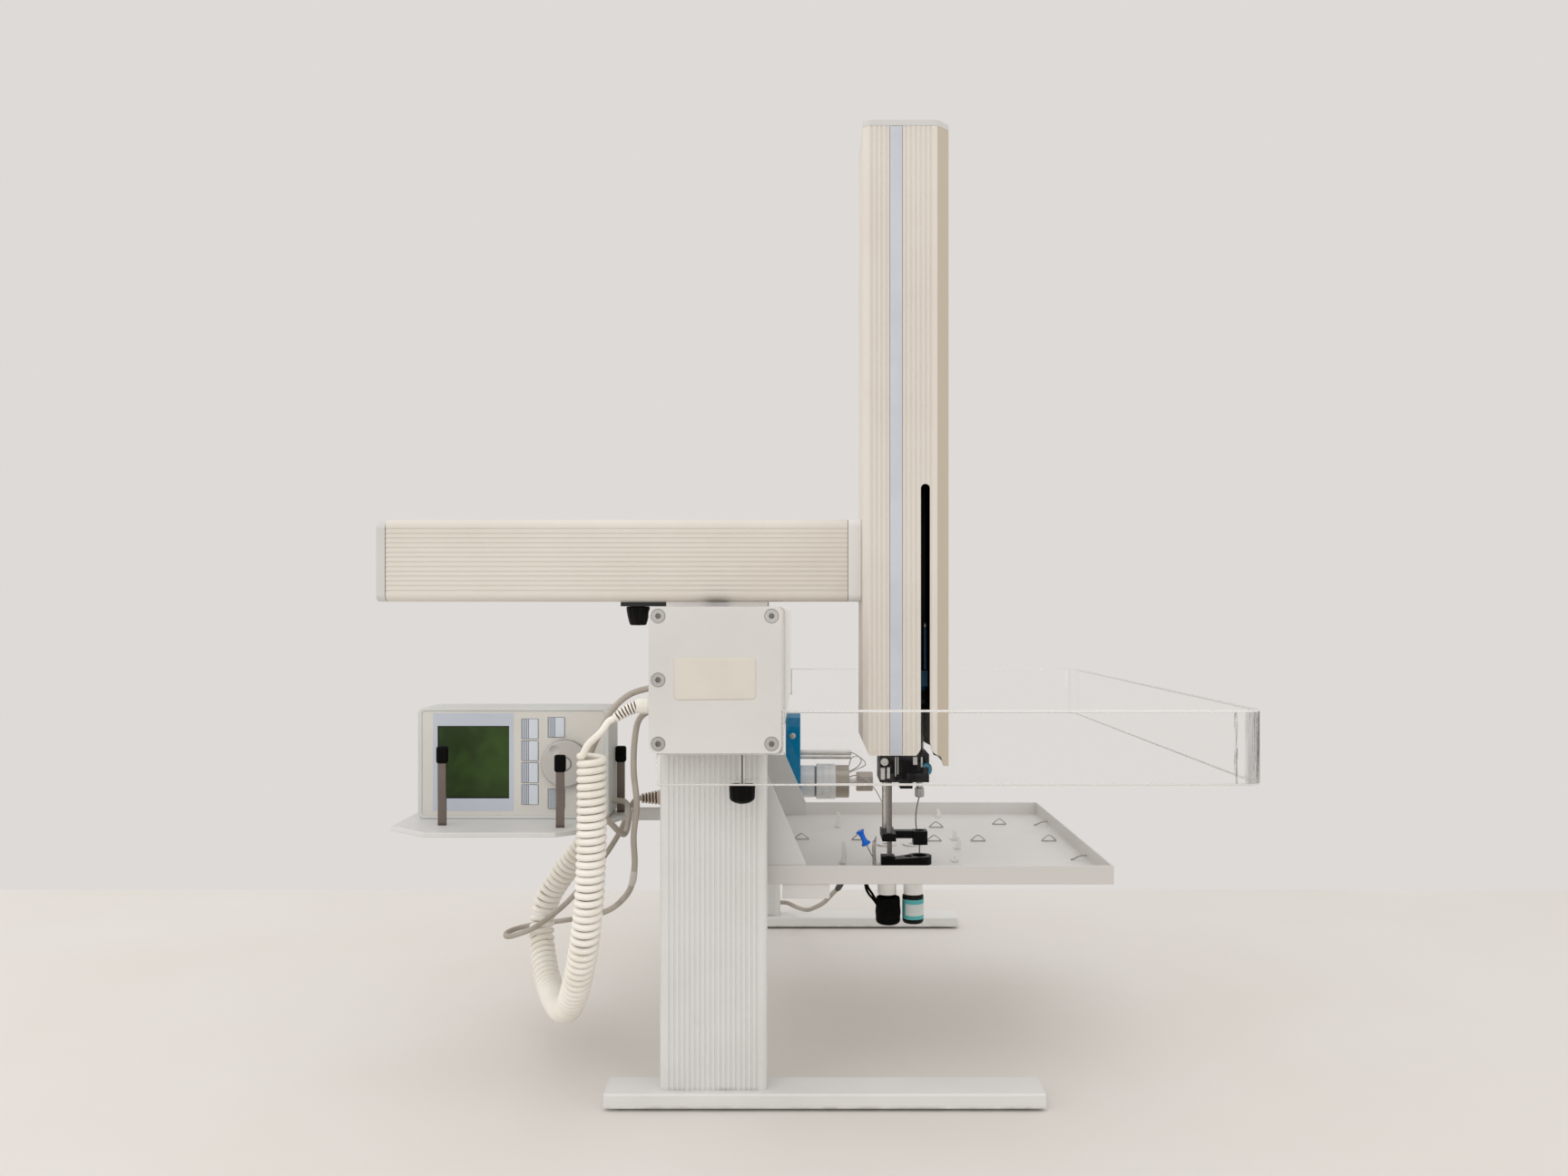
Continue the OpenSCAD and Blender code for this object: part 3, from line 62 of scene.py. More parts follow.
# Room and viewpoint: a cream bench top that ends behind the machine, a pale wall far behind it,
# soft light from above and from the viewer's left, and a phone's wide lens at the beam's height.
def tone(r, g, b):
    """A colour as it is read off a screen, 0 to 255, turned into linear light."""
    c = np.array([r, g, b]) / 255.0
    low, high = c / 12.92, ((c + 0.055) / 1.055) ** 2.4
    return (*np.where(c <= 0.04045, low, high).tolist(), 1.0)


def placed(name, data):
    """Shows a mesh, a curve, a lamp or a camera as an object at the origin."""
    thing = bpy.data.objects.new(name, data)
    bpy.context.scene.collection.objects.link(thing)
    return thing


def grid_mesh(name, points, round_v=False, smooth=True, flip=False, sharp=None):
    """A skin over rows and columns of points, given as one array or as three of X, Y and Z, with one
    quad between four neighbours. A round skin joins its last column to its first; edges bent by
    more than sharp degrees stay crisp."""
    if isinstance(points, tuple):
        points = np.stack(np.broadcast_arrays(*points), axis=-1)
    rows, cols = points.shape[:2]
    a = np.arange(rows - 1)[:, None]
    b = np.arange(cols if round_v else cols - 1)[None, :]
    b1 = (b + 1) % cols
    quads = np.stack([a * cols + b, (a + 1) * cols + b, (a + 1) * cols + b1, a * cols + b1], axis=-1)
    mesh = bpy.data.meshes.new(name)
    mesh.from_pydata(points.reshape(-1, 3).tolist(), [], quads.reshape(-1, 4).tolist())
    mesh.polygons.foreach_set("use_smooth", np.full(len(mesh.polygons), smooth))
    mesh.update()
    if flip:
        mesh.flip_normals()
    if sharp:
        mesh.set_sharp_from_angle(angle=math.radians(sharp))
    return placed(name, mesh)


class Finish:
    """A material in the making. Calls that paint give back the finish, the others a node or a socket.
    Where a socket is asked for, a number will do, a colour (three numbers as read off a screen or
    four in linear light), or the letter of an axis for how far along it a point lies, in metres."""

    def __init__(self, name, colour, rough, metal=0.0, shine=0.5):
        self.mat = bpy.data.materials.new(name)
        self.mat.use_nodes = True
        self.tree = self.mat.node_tree
        self.shader = self.tree.nodes["Principled BSDF"]
        self.place = self.tree.nodes.new("ShaderNodeTexCoord").outputs["Object"]
        self.put(Base_Color=colour, Roughness=rough, Metallic=metal, Specular_IOR_Level=shine)

    def link(self, value, socket):
        """Feeds a socket from another one, from an axis or from a plain value."""
        if isinstance(value, str):
            value = self.node("SeparateXYZ", Vector=self.place).outputs[value]
        if isinstance(value, bpy.types.NodeSocket):
            self.tree.links.new(value, socket)
        else:
            off_screen = socket.type == "RGBA" and len(value) == 3
            socket.default_value = tone(*value) if off_screen else value

    def feed(self, node, values):
        """Feeds a node's sockets by name."""
        for key, value in values.items():
            self.link(value, node.inputs[key.replace("_", " ")])
        return node

    def node(self, kind, **values):
        """One node of a kind."""
        return self.feed(self.tree.nodes.new("ShaderNode" + kind), values)

    def put(self, **values):
        """Sets the main shader's own sockets."""
        self.feed(self.shader, values)
        return self

    def cloud(self, size, detail=3.0, stretch=(1, 1, 1)):
        """Soft noise in the piece's own space; size is how many blotches lie along one metre."""
        turn = self.node("Mapping", Vector=self.place, Scale=stretch)
        return self.node("TexNoise", Vector=turn.outputs[0], Scale=size, Detail=detail).outputs["Fac"]

    def spread(self, value, low, high, to_low=0.0, to_high=1.0):
        """Moves a number from one span to another, held at the ends."""
        spans = dict(From_Min=low, From_Max=high, To_Min=to_low, To_Max=to_high)
        return self.node("MapRange", Value=value, **spans).outputs["Result"]

    def mix(self, share, first, second):
        """The first colour where share is 0 and the second where it is 1."""
        new = self.tree.nodes.new("ShaderNodeMix")
        new.data_type = "RGBA"
        self.link(share, new.inputs["Factor"])
        for key, colour in (("A", first), ("B", second)):
            self.link(colour, next(s for s in new.inputs if s.name == key and s.type == "RGBA"))
        return next(s for s in new.outputs if s.type == "RGBA")

    def patch(self, share, colour):
        """Paints a colour over what is already there, where share is 1."""
        base = self.shader.inputs["Base Color"]
        under = base.links[0].from_socket if base.is_linked else tuple(base.default_value)
        return self.put(Base_Color=self.mix(share, under, colour))

    def mottle(self, colour, size, detail=3.0, low=0.4, high=0.7):
        """Paints a near tone over what is already there, in soft blotches."""
        return self.patch(self.spread(self.cloud(size, detail), low, high), colour)

    def uneven(self, low, high, size, detail=3.0, start=0.3, end=0.7, stretch=(1, 1, 1)):
        """Lets the roughness wander between two values in soft blotches."""
        return self.put(Roughness=self.spread(self.cloud(size, detail, stretch), start, end, low, high))

    def bump(self, height, strength, depth):
        """Tilts the surface by the slope of a height, depth metres deep."""
        return self.put(Normal=self.node("Bump", Height=height, Strength=strength, Distance=depth).outputs[0])

    def grain(self, size, strength, depth=0.0002, detail=3.0):
        """A fine relief of soft noise."""
        return self.bump(self.cloud(size, detail), strength, depth)

    def work(self, operation, *numbers):
        """One sum, such as ADD or MAXIMUM."""
        new = self.tree.nodes.new("ShaderNodeMath")
        new.operation = operation
        for socket, number in zip(new.inputs, numbers):
            self.link(number, socket)
        return new.outputs[0]

    def off(self, value, middle):
        """How far a number lies to either side of a middle."""
        return self.work("ABSOLUTE", self.work("SUBTRACT", value, middle))

    def less(self, value, limit):
        """1 where a number is short of a limit."""
        return self.work("LESS_THAN", value, limit)

    def more(self, value, limit):
        """1 where a number is past a limit."""
        return self.work("GREATER_THAN", value, limit)

    def all_of(self, share, *others):
        """The product of several shares: 1 only where each is 1."""
        for other in others:
            share = self.work("MULTIPLY", share, other)
        return share

    def between(self, value, low, high):
        """1 where a number lies between two limits."""
        return self.all_of(self.more(value, low), self.less(value, high))


lens = bpy.data.cameras.new("viewpoint")
lens.sensor_width, lens.lens = 36.0, 27.73
lens.shift_x, lens.shift_y = -0.0127, 0.0133
viewpoint = placed("viewpoint", lens)
viewpoint.location = (0.009, -1.424, 0.437)
viewpoint.rotation_euler = (math.pi / 2, 0, 0)
bpy.context.scene.camera = viewpoint
bpy.context.scene.view_settings.view_transform = "Standard"

bench_reach, bench_back, bench_level = 4.0, 0.458, -0.0004
x, y = np.meshgrid(np.linspace(-bench_reach, bench_reach, 9), np.linspace(bench_back, -bench_reach, 9))
bench = grid_mesh("bench_top", (x, y, bench_level), smooth=False, flip=True)
bench_cream = Finish("bench_cream", (223, 218, 213), 0.6).mottle((218, 213, 206), 3.0, 7.0, 0.3, 0.75)
bench.data.materials.append(bench_cream.grain(400.0, 0.05, 0.0005).mat)
bench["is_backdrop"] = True

sky = bpy.data.worlds.new("soft_room")
bpy.context.scene.world = sky
sky.use_nodes = True
room = sky.node_tree
ambient = room.nodes["Background"]
ambient.inputs["Color"].default_value = (1.0, 0.99, 0.978, 1)
ambient.inputs["Strength"].default_value = 0.90
wall = room.nodes.new("ShaderNodeBackground")
wall.inputs["Color"].default_value = tone(222, 218, 215)
rays = room.nodes.new("ShaderNodeLightPath")
sees_wall = rays.outputs["Is Camera Ray"]
for kind in ("Is Transmission Ray", "Is Glossy Ray"):
    either = room.nodes.new("ShaderNodeMath")
    either.operation = "MAXIMUM"
    room.links.new(sees_wall, either.inputs[0])
    room.links.new(rays.outputs[kind], either.inputs[1])
    sees_wall = either.outputs[0]
backdrop = room.nodes.new("ShaderNodeMixShader")
for source, socket in zip((sees_wall, ambient.outputs[0], wall.outputs[0]), backdrop.inputs):
    room.links.new(source, socket)
room.links.new(backdrop.outputs[0], room.nodes["World Output"].inputs["Surface"])

for name, (x, y, z), aim_height, size, power in (
        ("key_light", (-1.9, -2.4, 2.4), 0.4, 2.4, 12.5), ("front_light", (0.1, -3.0, 0.9), 0.45, 1.6, 4),
        ("left_light", (-2.5, -0.2, 1.1), 0.4, 1.8, 6.5), ("right_light", (2.4, -1.0, 1.2), 0.4, 1.8, 4.5),
        ("ceiling_light", (-0.2, -0.5, 2.9), 0.0, 2.8, 9)):
    lamp = bpy.data.lights.new(name, "AREA")
    lamp.size, lamp.energy = size, power
    softbox = placed(name, lamp)
    softbox.location = (x, y, z)
    softbox.rotation_euler = (math.atan2(math.hypot(x, y), z - aim_height), 0, math.atan2(x, -y))


# Curly cord: an ivory plastic cord wound into close curls, as on a desk telephone. It leaves the
# beam through a ribbed boot, hangs down in one loop behind the column and ends in the terminal.
def at(points):
    """Drawing places, in millimetres from the middle of the beam, as metres in the model."""
    return (np.array(points, float) - [65.5, 0, 0]) / 1000.0


def unit(vectors):
    """Vectors brought to a length of one."""
    return vectors / np.linalg.norm(vectors, axis=-1, keepdims=True)


def ended(row):
    """A row with its first and its last entry doubled."""
    return np.concatenate([row[:1], row, row[-1:]])


def smooth_through(points, steps):
    """A curve through points: between two of them, a cubic whose slope at each is half the way
    from the point before it to the point after it."""
    p = ended(points)
    a, b, c, d = (p[i:len(p) - 3 + i, None, :] for i in range(4))
    t = np.linspace(0, 1, steps, endpoint=False)[None, :, None]
    line = 0.5 * (2 * b + (c - a) * t + (2 * a - 5 * b + 4 * c - d) * t ** 2
                  + (3 * b - a - 3 * c + d) * t ** 3)
    return np.concatenate([line.reshape(-1, 3), points[-1:]])


def cord_curve(name, line, thickness, rounds=5):
    """A round cord along a line: one open spline with a bevel of half its thickness."""
    curve = bpy.data.curves.new(name, "CURVE")
    curve.dimensions = "3D"
    curve.bevel_depth = thickness / 2
    curve.bevel_resolution = rounds
    curve.use_fill_caps = True
    spline = curve.splines.new("POLY")
    spline.points.add(len(line) - 1)
    spline.points.foreach_set("co", np.c_[line, np.ones(len(line))].ravel())
    spline.use_smooth = True
    return placed(name, curve)


def fit(piece, skin, node=None, body="frame"):
    """Dresses a piece in a finish, lets it ride on a body and hides the CAD node it stands for."""
    piece.data.materials.append(skin.mat)
    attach(piece, body)
    if node:
        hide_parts(node)
    return piece


full_turn = 2 * math.pi
curl_wire, curl_radius, curl_pitch, curl_facets, curl_start = 0.0063, 0.0102, 0.0067, 24, 0.84 * math.pi
plug_face, plug_reach = at([-55.5, -364, 352]), 0.015
boot_length, boot_tilt = 0.024, math.radians(62)
boot_way = np.array([-math.sin(boot_tilt), 0, -math.cos(boot_tilt)])
boot_start = plug_face - [plug_reach, 0, 0]
boot_end = boot_start + boot_length * boot_way
fine = smooth_through(at([
    [-111, -368, 312], [-111, -368, 300], [-111, -368, 260], [-112, -366, 216], [-115, -362, 176],
    [-121, -352, 136], [-132, -328, 96], [-147, -287, 62], [-166, -236, 46], [-187, -184, 51], [-202, -146, 78],
    [-205, -132, 106], [-197, -134, 132], [-182, -140, 155], [-162, -150, 181], [-146, -160, 202]]), 60)
ahead = np.gradient(fine, axis=0)
step = np.linalg.norm(ahead, axis=1)
ahead /= step[:, None]
bend = np.linalg.norm(np.gradient(ahead, axis=0), axis=1) / step
turned = np.cumsum((full_turn / curl_pitch * step * (1 - curl_radius * bend))[:-1])
turned = np.concatenate([[0], turned])
curls = math.floor(turned[-1] / full_turn)
angle = np.linspace(curl_start, curls * full_turn, curls * curl_facets)
middle, along = (np.stack([np.interp(angle, turned, w[:, k]) for k in range(3)], axis=1) for w in (fine, ahead))
curl_side = np.array([0.93, 0.35, 0])
side = unit(curl_side - (along @ curl_side)[:, None] * along)
angle = angle[:, None]
opened = np.minimum(1, (angle[-1] - angle) / full_turn)
curl_line = middle + curl_radius * opened * (np.cos(angle) * side + np.sin(angle) * np.cross(along, side))
cord_in = np.concatenate([[boot_end, boot_end + 0.006 * boot_way], at([[-103, -369, 329], [-113, -375, 319]]),
                          curl_line[:1]])
cord_out = at([[-136, -168, 222], [-133, -176, 240], [-135, -188, 254], [-138, -200, 259], [-138, -206, 260],
               [-138, -214, 260]])
cord_line = np.concatenate([smooth_through(cord_in, 8)[:-1], curl_line, smooth_through(cord_out, 6)])
cord_ivory = Finish("cord_ivory", (243, 239, 230), 0.42).mottle((232, 226, 213), 30.0, 5.0, 0.42, 0.75)
cord_ivory.uneven(0.34, 0.5, 120.0).grain(1500.0, 0.08)
curly_cord = fit(cord_curve("curly_cord_wound", cord_line, curl_wire, 3), cord_ivory, "curly_cord")


# Cord socket and boot: a white moulded plug stands on the beam's rear face, and a soft boot with
# open ribs bends the cord down from it.
def sleeve(name, line, radii, hint=(0, 1, 0), sides=32):
    """A round skin along a line with its own radius at each point, closed at both ends by a ring of no
    size. Angles are counted from the hint made square to the line."""
    t = unit(np.gradient(line, axis=0))
    u = unit(np.array(hint) - (t @ np.array(hint))[:, None] * t)
    u, v, line = (ended(w)[:, None] for w in (u, np.cross(t, u), line))
    radii = np.concatenate([[1e-5], radii, [1e-5]])[:, None, None]
    a = np.linspace(0, full_turn, sides, endpoint=False)[None, :, None]
    return grid_mesh(name, line + radii * (np.cos(a) * u + np.sin(a) * v), round_v=True, sharp=40)


def dimmed(colour, share):
    """A screen colour with only a share of its light."""
    return tuple(share * c for c in tone(*colour)[:3]) + (1.0,)


def ribbed(name, piece, depth, plain, dark):
    """Writes how deep each ring lies as a vertex attribute, and gives a finish that darkens with it: a browner
    tone in the grooves, made darker as painted shade.
    """
    mark = piece.data.attributes.new("groove", "FLOAT", "POINT")
    sides = len(piece.data.vertices) // (len(depth) + 2)
    mark.data.foreach_set("value", np.repeat(ended(depth.astype(float)), sides))
    skin = Finish(name, plain, 0.42).mottle(dimmed(plain, 0.93), 60.0, high=0.8).grain(1800.0, 0.06)
    groove = skin.node("Attribute")
    groove.attribute_name = "groove"
    return skin.patch(groove.outputs["Fac"], dark)


s = np.linspace(0, 1, 281)
slots = (np.mod(s * 8, 1) > 0.56) & (s < 0.9)
boot = sleeve(
    "cord_boot", boot_start + np.outer(s, boot_end - boot_start) + np.outer(np.sin(math.pi * s), [0, 0, 0.0014]),
    0.0060 - 0.0017 * s ** 1.3 - np.where(slots, 0.0021, 0) - 0.0009 * s ** 18)
# The slots are painted dark brown: a browner core, darkened as painted shade in the slots.
fit(boot, ribbed("boot_ivory", boot, slots, (241, 237, 228), (122, 98, 80)))
s = np.linspace(0, 1, 31)
plug = sleeve("cord_plug", plug_face - np.outer(s, [plug_reach + 0.0015, 0, 0]),
              0.0070 - 0.0006 * s ** 6 - 0.0006 * (np.abs(s - 0.35) < 0.05))
plug_white = Finish("plug_white", (241, 239, 233), 0.4).mottle((226, 220, 208), 60.0, high=0.8)
fit(plug, plug_white.grain(1800.0, 0.06), "cord_socket")


# Grey leads: three round leads with a warm grey jacket. One runs from the beam to the terminal,
# one loops behind the column to a plug on the tray's bracket, one crosses from the far leg to the tray.
lead_width = 0.0056
lead_lines = {name: smooth_through(at(points), 8) for name, points in (
    ("terminal_lead", [
        [-55.5, -345, 366], [-64, -345, 366], [-82, -346, 360], [-97, -348, 346], [-107, -349, 327],
        [-116, -345, 308], [-119, -340, 290], [-115, -335, 266], [-105, -329, 248], [-95, -314, 232],
        [-92, -298, 228], [-92, -278, 236], [-95, -260, 245], [-99, -250, 249], [-105, -247, 250],
        [-112, -247, 250]]),
    ("link_lead", [
        [-55.5, -330, 344], [-66, -330, 344], [-75, -331, 336], [-78, -336, 318], [-78, -342, 292],
        [-75, -344, 262], [-78, -342, 234], [-78, -336, 206], [-84, -318, 182], [-100, -270, 158],
        [-122, -210, 134], [-152, -146, 112], [-184, -108, 98], [-216, -92, 90], [-238, -94, 86],
        [-249, -106, 84], [-246, -122, 84], [-232, -138, 90], [-204, -162, 106], [-168, -176, 136],
        [-134, -184, 178], [-113, -191, 210], [-104, -194, 232], [-96, -197, 243], [-84, -202, 246.5],
        [-71, -202, 246.5]]),
    ("tray_lead", [
        [42, 247, 31], [52, 247, 30], [64, 237, 27], [78, 205, 31], [89, 162, 45], [100, 115, 63], [110, 66, 86],
        [117, 18, 106], [121, -36, 132], [123, -80, 156], [124, -100, 174], [124, -102, 186]]))}
lead_grey = Finish("lead_grey", (176, 168, 157), 0.5).mottle((156, 147, 136), 25.0, 4.0).grain(1500.0, 0.08)
leads = {name: fit(cord_curve(name, line, lead_width), lead_grey)
         for name, line in lead_lines.items()}
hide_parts("grey_leads")


def band(name, line, radius):
    """A short sleeve round a stretch of a lead, rolled over at both ends."""
    k = np.linspace(-1, 1, len(line))
    return sleeve(name, line, radius * (1 - 0.25 * k ** 10), (0.2, 0.3, 0.93), 20)


marker_white = Finish("marker_white", (212, 207, 200), 0.45).mottle((190, 184, 176), 200.0, low=0, high=1)
marker = fit(band("lead_marker", lead_lines["link_lead"][57:64], 0.0032), marker_white)
sleeve_black = Finish("sleeve_black", (10, 10, 10), 0.55).uneven(0.45, 0.65, 300.0).grain(900.0, 0.15, 0.0004)
tie = fit(band("lead_sleeve", lead_lines["tray_lead"][53:63], 0.0036), sleeve_black)


# Lead plug: a tan moulded connector on the tray's bracket, with a round ribbed boot over the lead
# that keeps it from kinking.
def dress(skin, *names):
    """Gives CAD nodes a finish in place of their plain one."""
    for name in names:
        nodes[name].data.materials.clear()
        nodes[name].data.materials.append(skin.mat)


s = np.linspace(0, 1, 201)
gaps = (np.mod(s * 6, 1) > 0.5) & (s > 0.08) & (s < 0.92)
ribs_end = np.array([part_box("lead_plugs")[0].x + 0.001, -0.202, 0.2465])
plug_ribs = sleeve("lead_boot", ribs_end + np.outer(s - 1, [0.0195, -0.0006, 0.0012]),
                   0.0048 + 0.0028 * s - np.where(gaps, 0.0018, 0.0))
# The gaps are painted dark brown: a browner core, darkened as painted shade in the gaps.
fit(plug_ribs, ribbed("boot_tan", plug_ribs, gaps, (204, 190, 174), (84, 62, 50)))
plug_tan = Finish("plug_tan", (212, 205, 194), 0.5).mottle((196, 187, 173), 80.0, low=0, high=1)
dress(plug_tan.grain(1400.0, 0.08, 0.0003), "lead_plugs")
for name, far_end, on_it in (("terminal_lead", "object", []),
                             ("link_lead", "connector", [nodes["lead_plugs"], plug_ribs, marker]),
                             ("tray_lead", "object", [tie])):
    line = lead_lines[name]


# Foot bars and pads: two aluminium bars with rounded top edges, powder-coated light grey, each on
# two black rubber pads that are pressed into its underside.
def coat(name, colour, worn, rough=0.45, grain=1100.0, peel=0.06, shine=0.5):
    """Sprayed paint: two near tones in soft blotches, an uneven gloss and a fine orange-peel grain."""
    skin = Finish(name, colour, rough, shine=shine).mottle(worn, 9.0, 5.0, high=0.72)
    return skin.uneven(rough - 0.07, rough + 0.08, 22.0, 4.0).grain(grain, peel, 0.0003)


def darker_at_foot(skin, low, depth, dark):
    """A coat with a ragged dark line along its foot, which fades upwards from a height."""
    near = skin.spread("Z", low, low + depth, 1, 0)
    return skin.patch(skin.all_of(near, skin.spread(skin.cloud(60.0, 6.0), 0.35, 0.65, 0, 0.8)), dark)


foot_grey = coat("foot_grey", (222, 221, 218), (214, 213, 210), 0.42)
dress(darker_at_foot(foot_grey, 0.0025, 0.003, (176, 172, 166)), "near_foot", "far_foot")
dress(coat("pad_black", (16, 16, 16), (30, 29, 28), 0.75, 700.0, 0.2, 0.2), "foot_pads")


# Columns: two ribbed aluminium extrusions, powder-coated like the feet and bolted through both ends; each is a
# little darker in a ragged band along its foot, just above the foot bar.
column_grey = coat("column_grey", (219, 218, 216), (210, 209, 206))
dress(darker_at_foot(column_grey, 0.015, 0.0035, (170, 167, 161)), "near_column", "far_column")


# Beam, end caps and screws: an extruded box with a slot in its top, closed by a painted plate at
# each end; hexagon-socket screws hold the plates in the extrusion's screw channels.
def softened(name, node, width, skin, body="frame", steps=2):
    """A copy of a CAD node with its triangles joined and its edges broken by a small round."""
    mesh = nodes[node].data.copy()
    mesh.name = name
    piece = placed(name, mesh)
    work = bmesh.new()
    work.from_mesh(mesh)
    bmesh.ops.remove_doubles(work, verts=work.verts, dist=1e-6)
    bmesh.ops.dissolve_limit(work, angle_limit=math.radians(0.5), verts=work.verts, edges=work.edges)
    work.to_mesh(mesh)
    work.free()
    mesh.materials.clear()
    mesh.polygons.foreach_set("use_smooth", np.ones(len(mesh.polygons), bool))
    crisp = math.radians(35)
    mesh.set_sharp_from_angle(angle=crisp)
    rounding = piece.modifiers.new("broken_edges", "BEVEL")
    rounding.width, rounding.segments = width, steps
    rounding.limit_method, rounding.angle_limit = "ANGLE", crisp
    piece.modifiers.new("flat_faces", "WEIGHTED_NORMAL").keep_sharp = True
    return fit(piece, skin, node, body)


def brushed(name, colour, rough, lines, stretch=(1, 1, 1), metal=1.0):
    """Bare metal with fine drawn lines: noise, squeezed across the direction of drawing, sets both
    the roughness and a shallow relief."""
    skin = Finish(name, colour, rough, metal).mottle(dimmed(colour, 0.82), 40.0, low=0.35)
    drawn = skin.cloud(lines, 2.0, stretch)
    skin.put(Roughness=skin.spread(drawn, 0.3, 0.7, rough - 0.08, rough + 0.1))
    return skin.bump(drawn, 0.04, 0.0002)


beam_white = coat("beam_white", (233, 229, 225), (226, 222, 217), 0.42)
dress(beam_white, "beam")
cap_grey = coat("cap_grey", (217, 214, 211), (208, 205, 201), 0.48, 800.0, 0.05)
dress(cap_grey, "far_end_cap")
cap_face, label_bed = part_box("near_end_cap")[0].y, 0.0003
near_plate = softened("near_cap_plate", "near_end_cap", 0.0016, cap_grey, steps=3)
points = np.empty(len(near_plate.data.vertices) * 3)
near_plate.data.vertices.foreach_get("co", points)
points[1::3] = np.maximum(points[1::3], cap_face + label_bed)
near_plate.data.vertices.foreach_set("co", points)
socket_floor = -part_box("end_cap_screws")[0].y - 0.0004
# The sockets and the heads' sides, everything behind the heads' faces, are painted darker: painted shade in the
# hexagon recesses.
skin = brushed("socket_steel", (192, 190, 187), 0.34, 900.0)
dress(skin.patch(skin.less(skin.off("Y", 0.0), socket_floor), (120, 118, 116)), "end_cap_screws")


# Slot filler: a white plastic strip pressed into the near end of the beam's slot, where the carriage
# never comes.
def rounded_block(name, low, high, r, n=12):
    """A block with round edges: a ball of radius r whose eight eighths are pulled apart to the
    block's corners, with the flat below and above closed to its middle."""
    low, high = np.array(low, float), np.array(high, float)
    seam = 1e-6
    lat = np.linspace(-math.pi / 2, math.pi / 2, 2 * n + 2)
    lat = np.sort(np.concatenate([lat, [-seam, seam]]))
    lon = np.linspace(0, full_turn, 4 * n, endpoint=False)
    lon = np.sort(np.concatenate([lon + seam, lon[::n] + full_turn - seam]) % full_turn)
    ball = np.stack([np.outer(np.cos(lat), np.cos(lon)), np.outer(np.cos(lat), np.sin(lon)),
                     np.outer(np.sin(lat), np.ones(len(lon)))], axis=-1)
    centre = (low + high) / 2
    skin = centre + np.sign(ball) * ((high - low) / 2 - r) + r * ball
    under, over = (np.ones((1, len(lon), 1)) * [*centre[:2], z] for z in (low[2], high[2]))
    return grid_mesh(name, np.concatenate([under, skin, over]), round_v=True, flip=True)


beam_low, beam_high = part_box("beam")
filler_x, filler_end = at([[-20.1, 0, 0], [3.5, 0, 0]])[:, 0], -0.2965
fit(rounded_block("slot_filler", (filler_x[0], beam_low.y + 0.0004, beam_high.z - 0.0026),
                  (filler_x[1], filler_end, beam_high.z - 0.0001), 0.0003), beam_white)


# Label place: a bare sticker of cream paper on the near cap, a little yellowed at its edges and
# rounded at its corners.
def middle_of(node):
    """The middle of a CAD node's box."""
    low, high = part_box(node)
    return np.array((low + high) / 2)


label_wide, label_tall, label_z = 0.069, 0.0356, 0.3785
u, v = np.meshgrid(np.linspace(-1, 1, 41), np.linspace(-1, 1, 25), indexing="ij")
pull = np.abs(u) ** 14 * np.abs(v) ** 14
label = grid_mesh("blank_label", (
    middle_of("near_end_cap")[0] + label_wide / 2 * u * (1 - 0.03 * pull), cap_face + 0.6 * label_bed,
    label_z + label_tall / 2 * v * (1 - 0.06 * pull) + 0.0003 * u))
label.modifiers.new("paper", "SOLIDIFY").thickness = 0.0001
label_cream = Finish("label_cream", (217, 211, 200), 0.5).mottle((211, 205, 192), 40.0, 6.0, 0.35, 0.8)
fit(label, label_cream.grain(160.0, 0.12, 0.0004, 5.0))


# Rail drive: a black stepper motor, a toothed rubber belt and two turned aluminium pulleys run
# inside the beam, out of sight.
dress(coat("motor_black", (38, 38, 40), (52, 51, 52), 0.5, 900.0, 0.1), "rail_motor", "arm_motor", "lift_motor")
belt_black = Finish("belt_black", (24, 24, 24), 0.7).uneven(0.6, 0.85, 200.0)
teeth = belt_black.node("TexWave", Vector=belt_black.place, Scale=60.0)
teeth.bands_direction = "Y"
dress(belt_black.bump(teeth.outputs["Fac"], 0.5, 0.001), "rail_belt")
dress(brushed("turned_alu", (176, 178, 181), 0.36, 700.0), "rail_pulley", "rail_idler", "tower_spine")


# Arm: a ribbed aluminium extrusion painted warm cream, closed at both ends by light grey moulded
# caps that leave a fine dark joint. Its spindle turns inside.
def cap_coat(name):
    """The light grey of the moulded end caps."""
    return coat(name, (207, 206, 203), (199, 198, 195), 0.45, 900.0, 0.04)


cover_paint = dict(rough=0.46, grain=1300.0, peel=0.05)
cover_cream = coat("cover_cream", (221, 215, 205), (215, 208, 197), **cover_paint)
softened("arm_shell", "arm_cover", 0.00030, cover_cream, "arm")
arm_low, arm_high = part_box("arm_cover")
joint_dark = (150, 143, 134)
skin = cap_coat("arm_ends_grey")
# The cap at the +X end, beside the tower, is painted lighter: painted light against the shade the tower casts on
# it.
skin.patch(skin.more("X", 0.0), (228, 226, 224))
skin.patch(skin.between("X", arm_low.x - 0.0007, arm_high.x + 0.0006), joint_dark)
softened("arm_ends", "arm_end_caps", 0.0010, skin, "arm", 3)
dress(brushed("spindle_steel", (196, 196, 194), 0.28, 800.0), "arm_spindle", "lift_spindle")


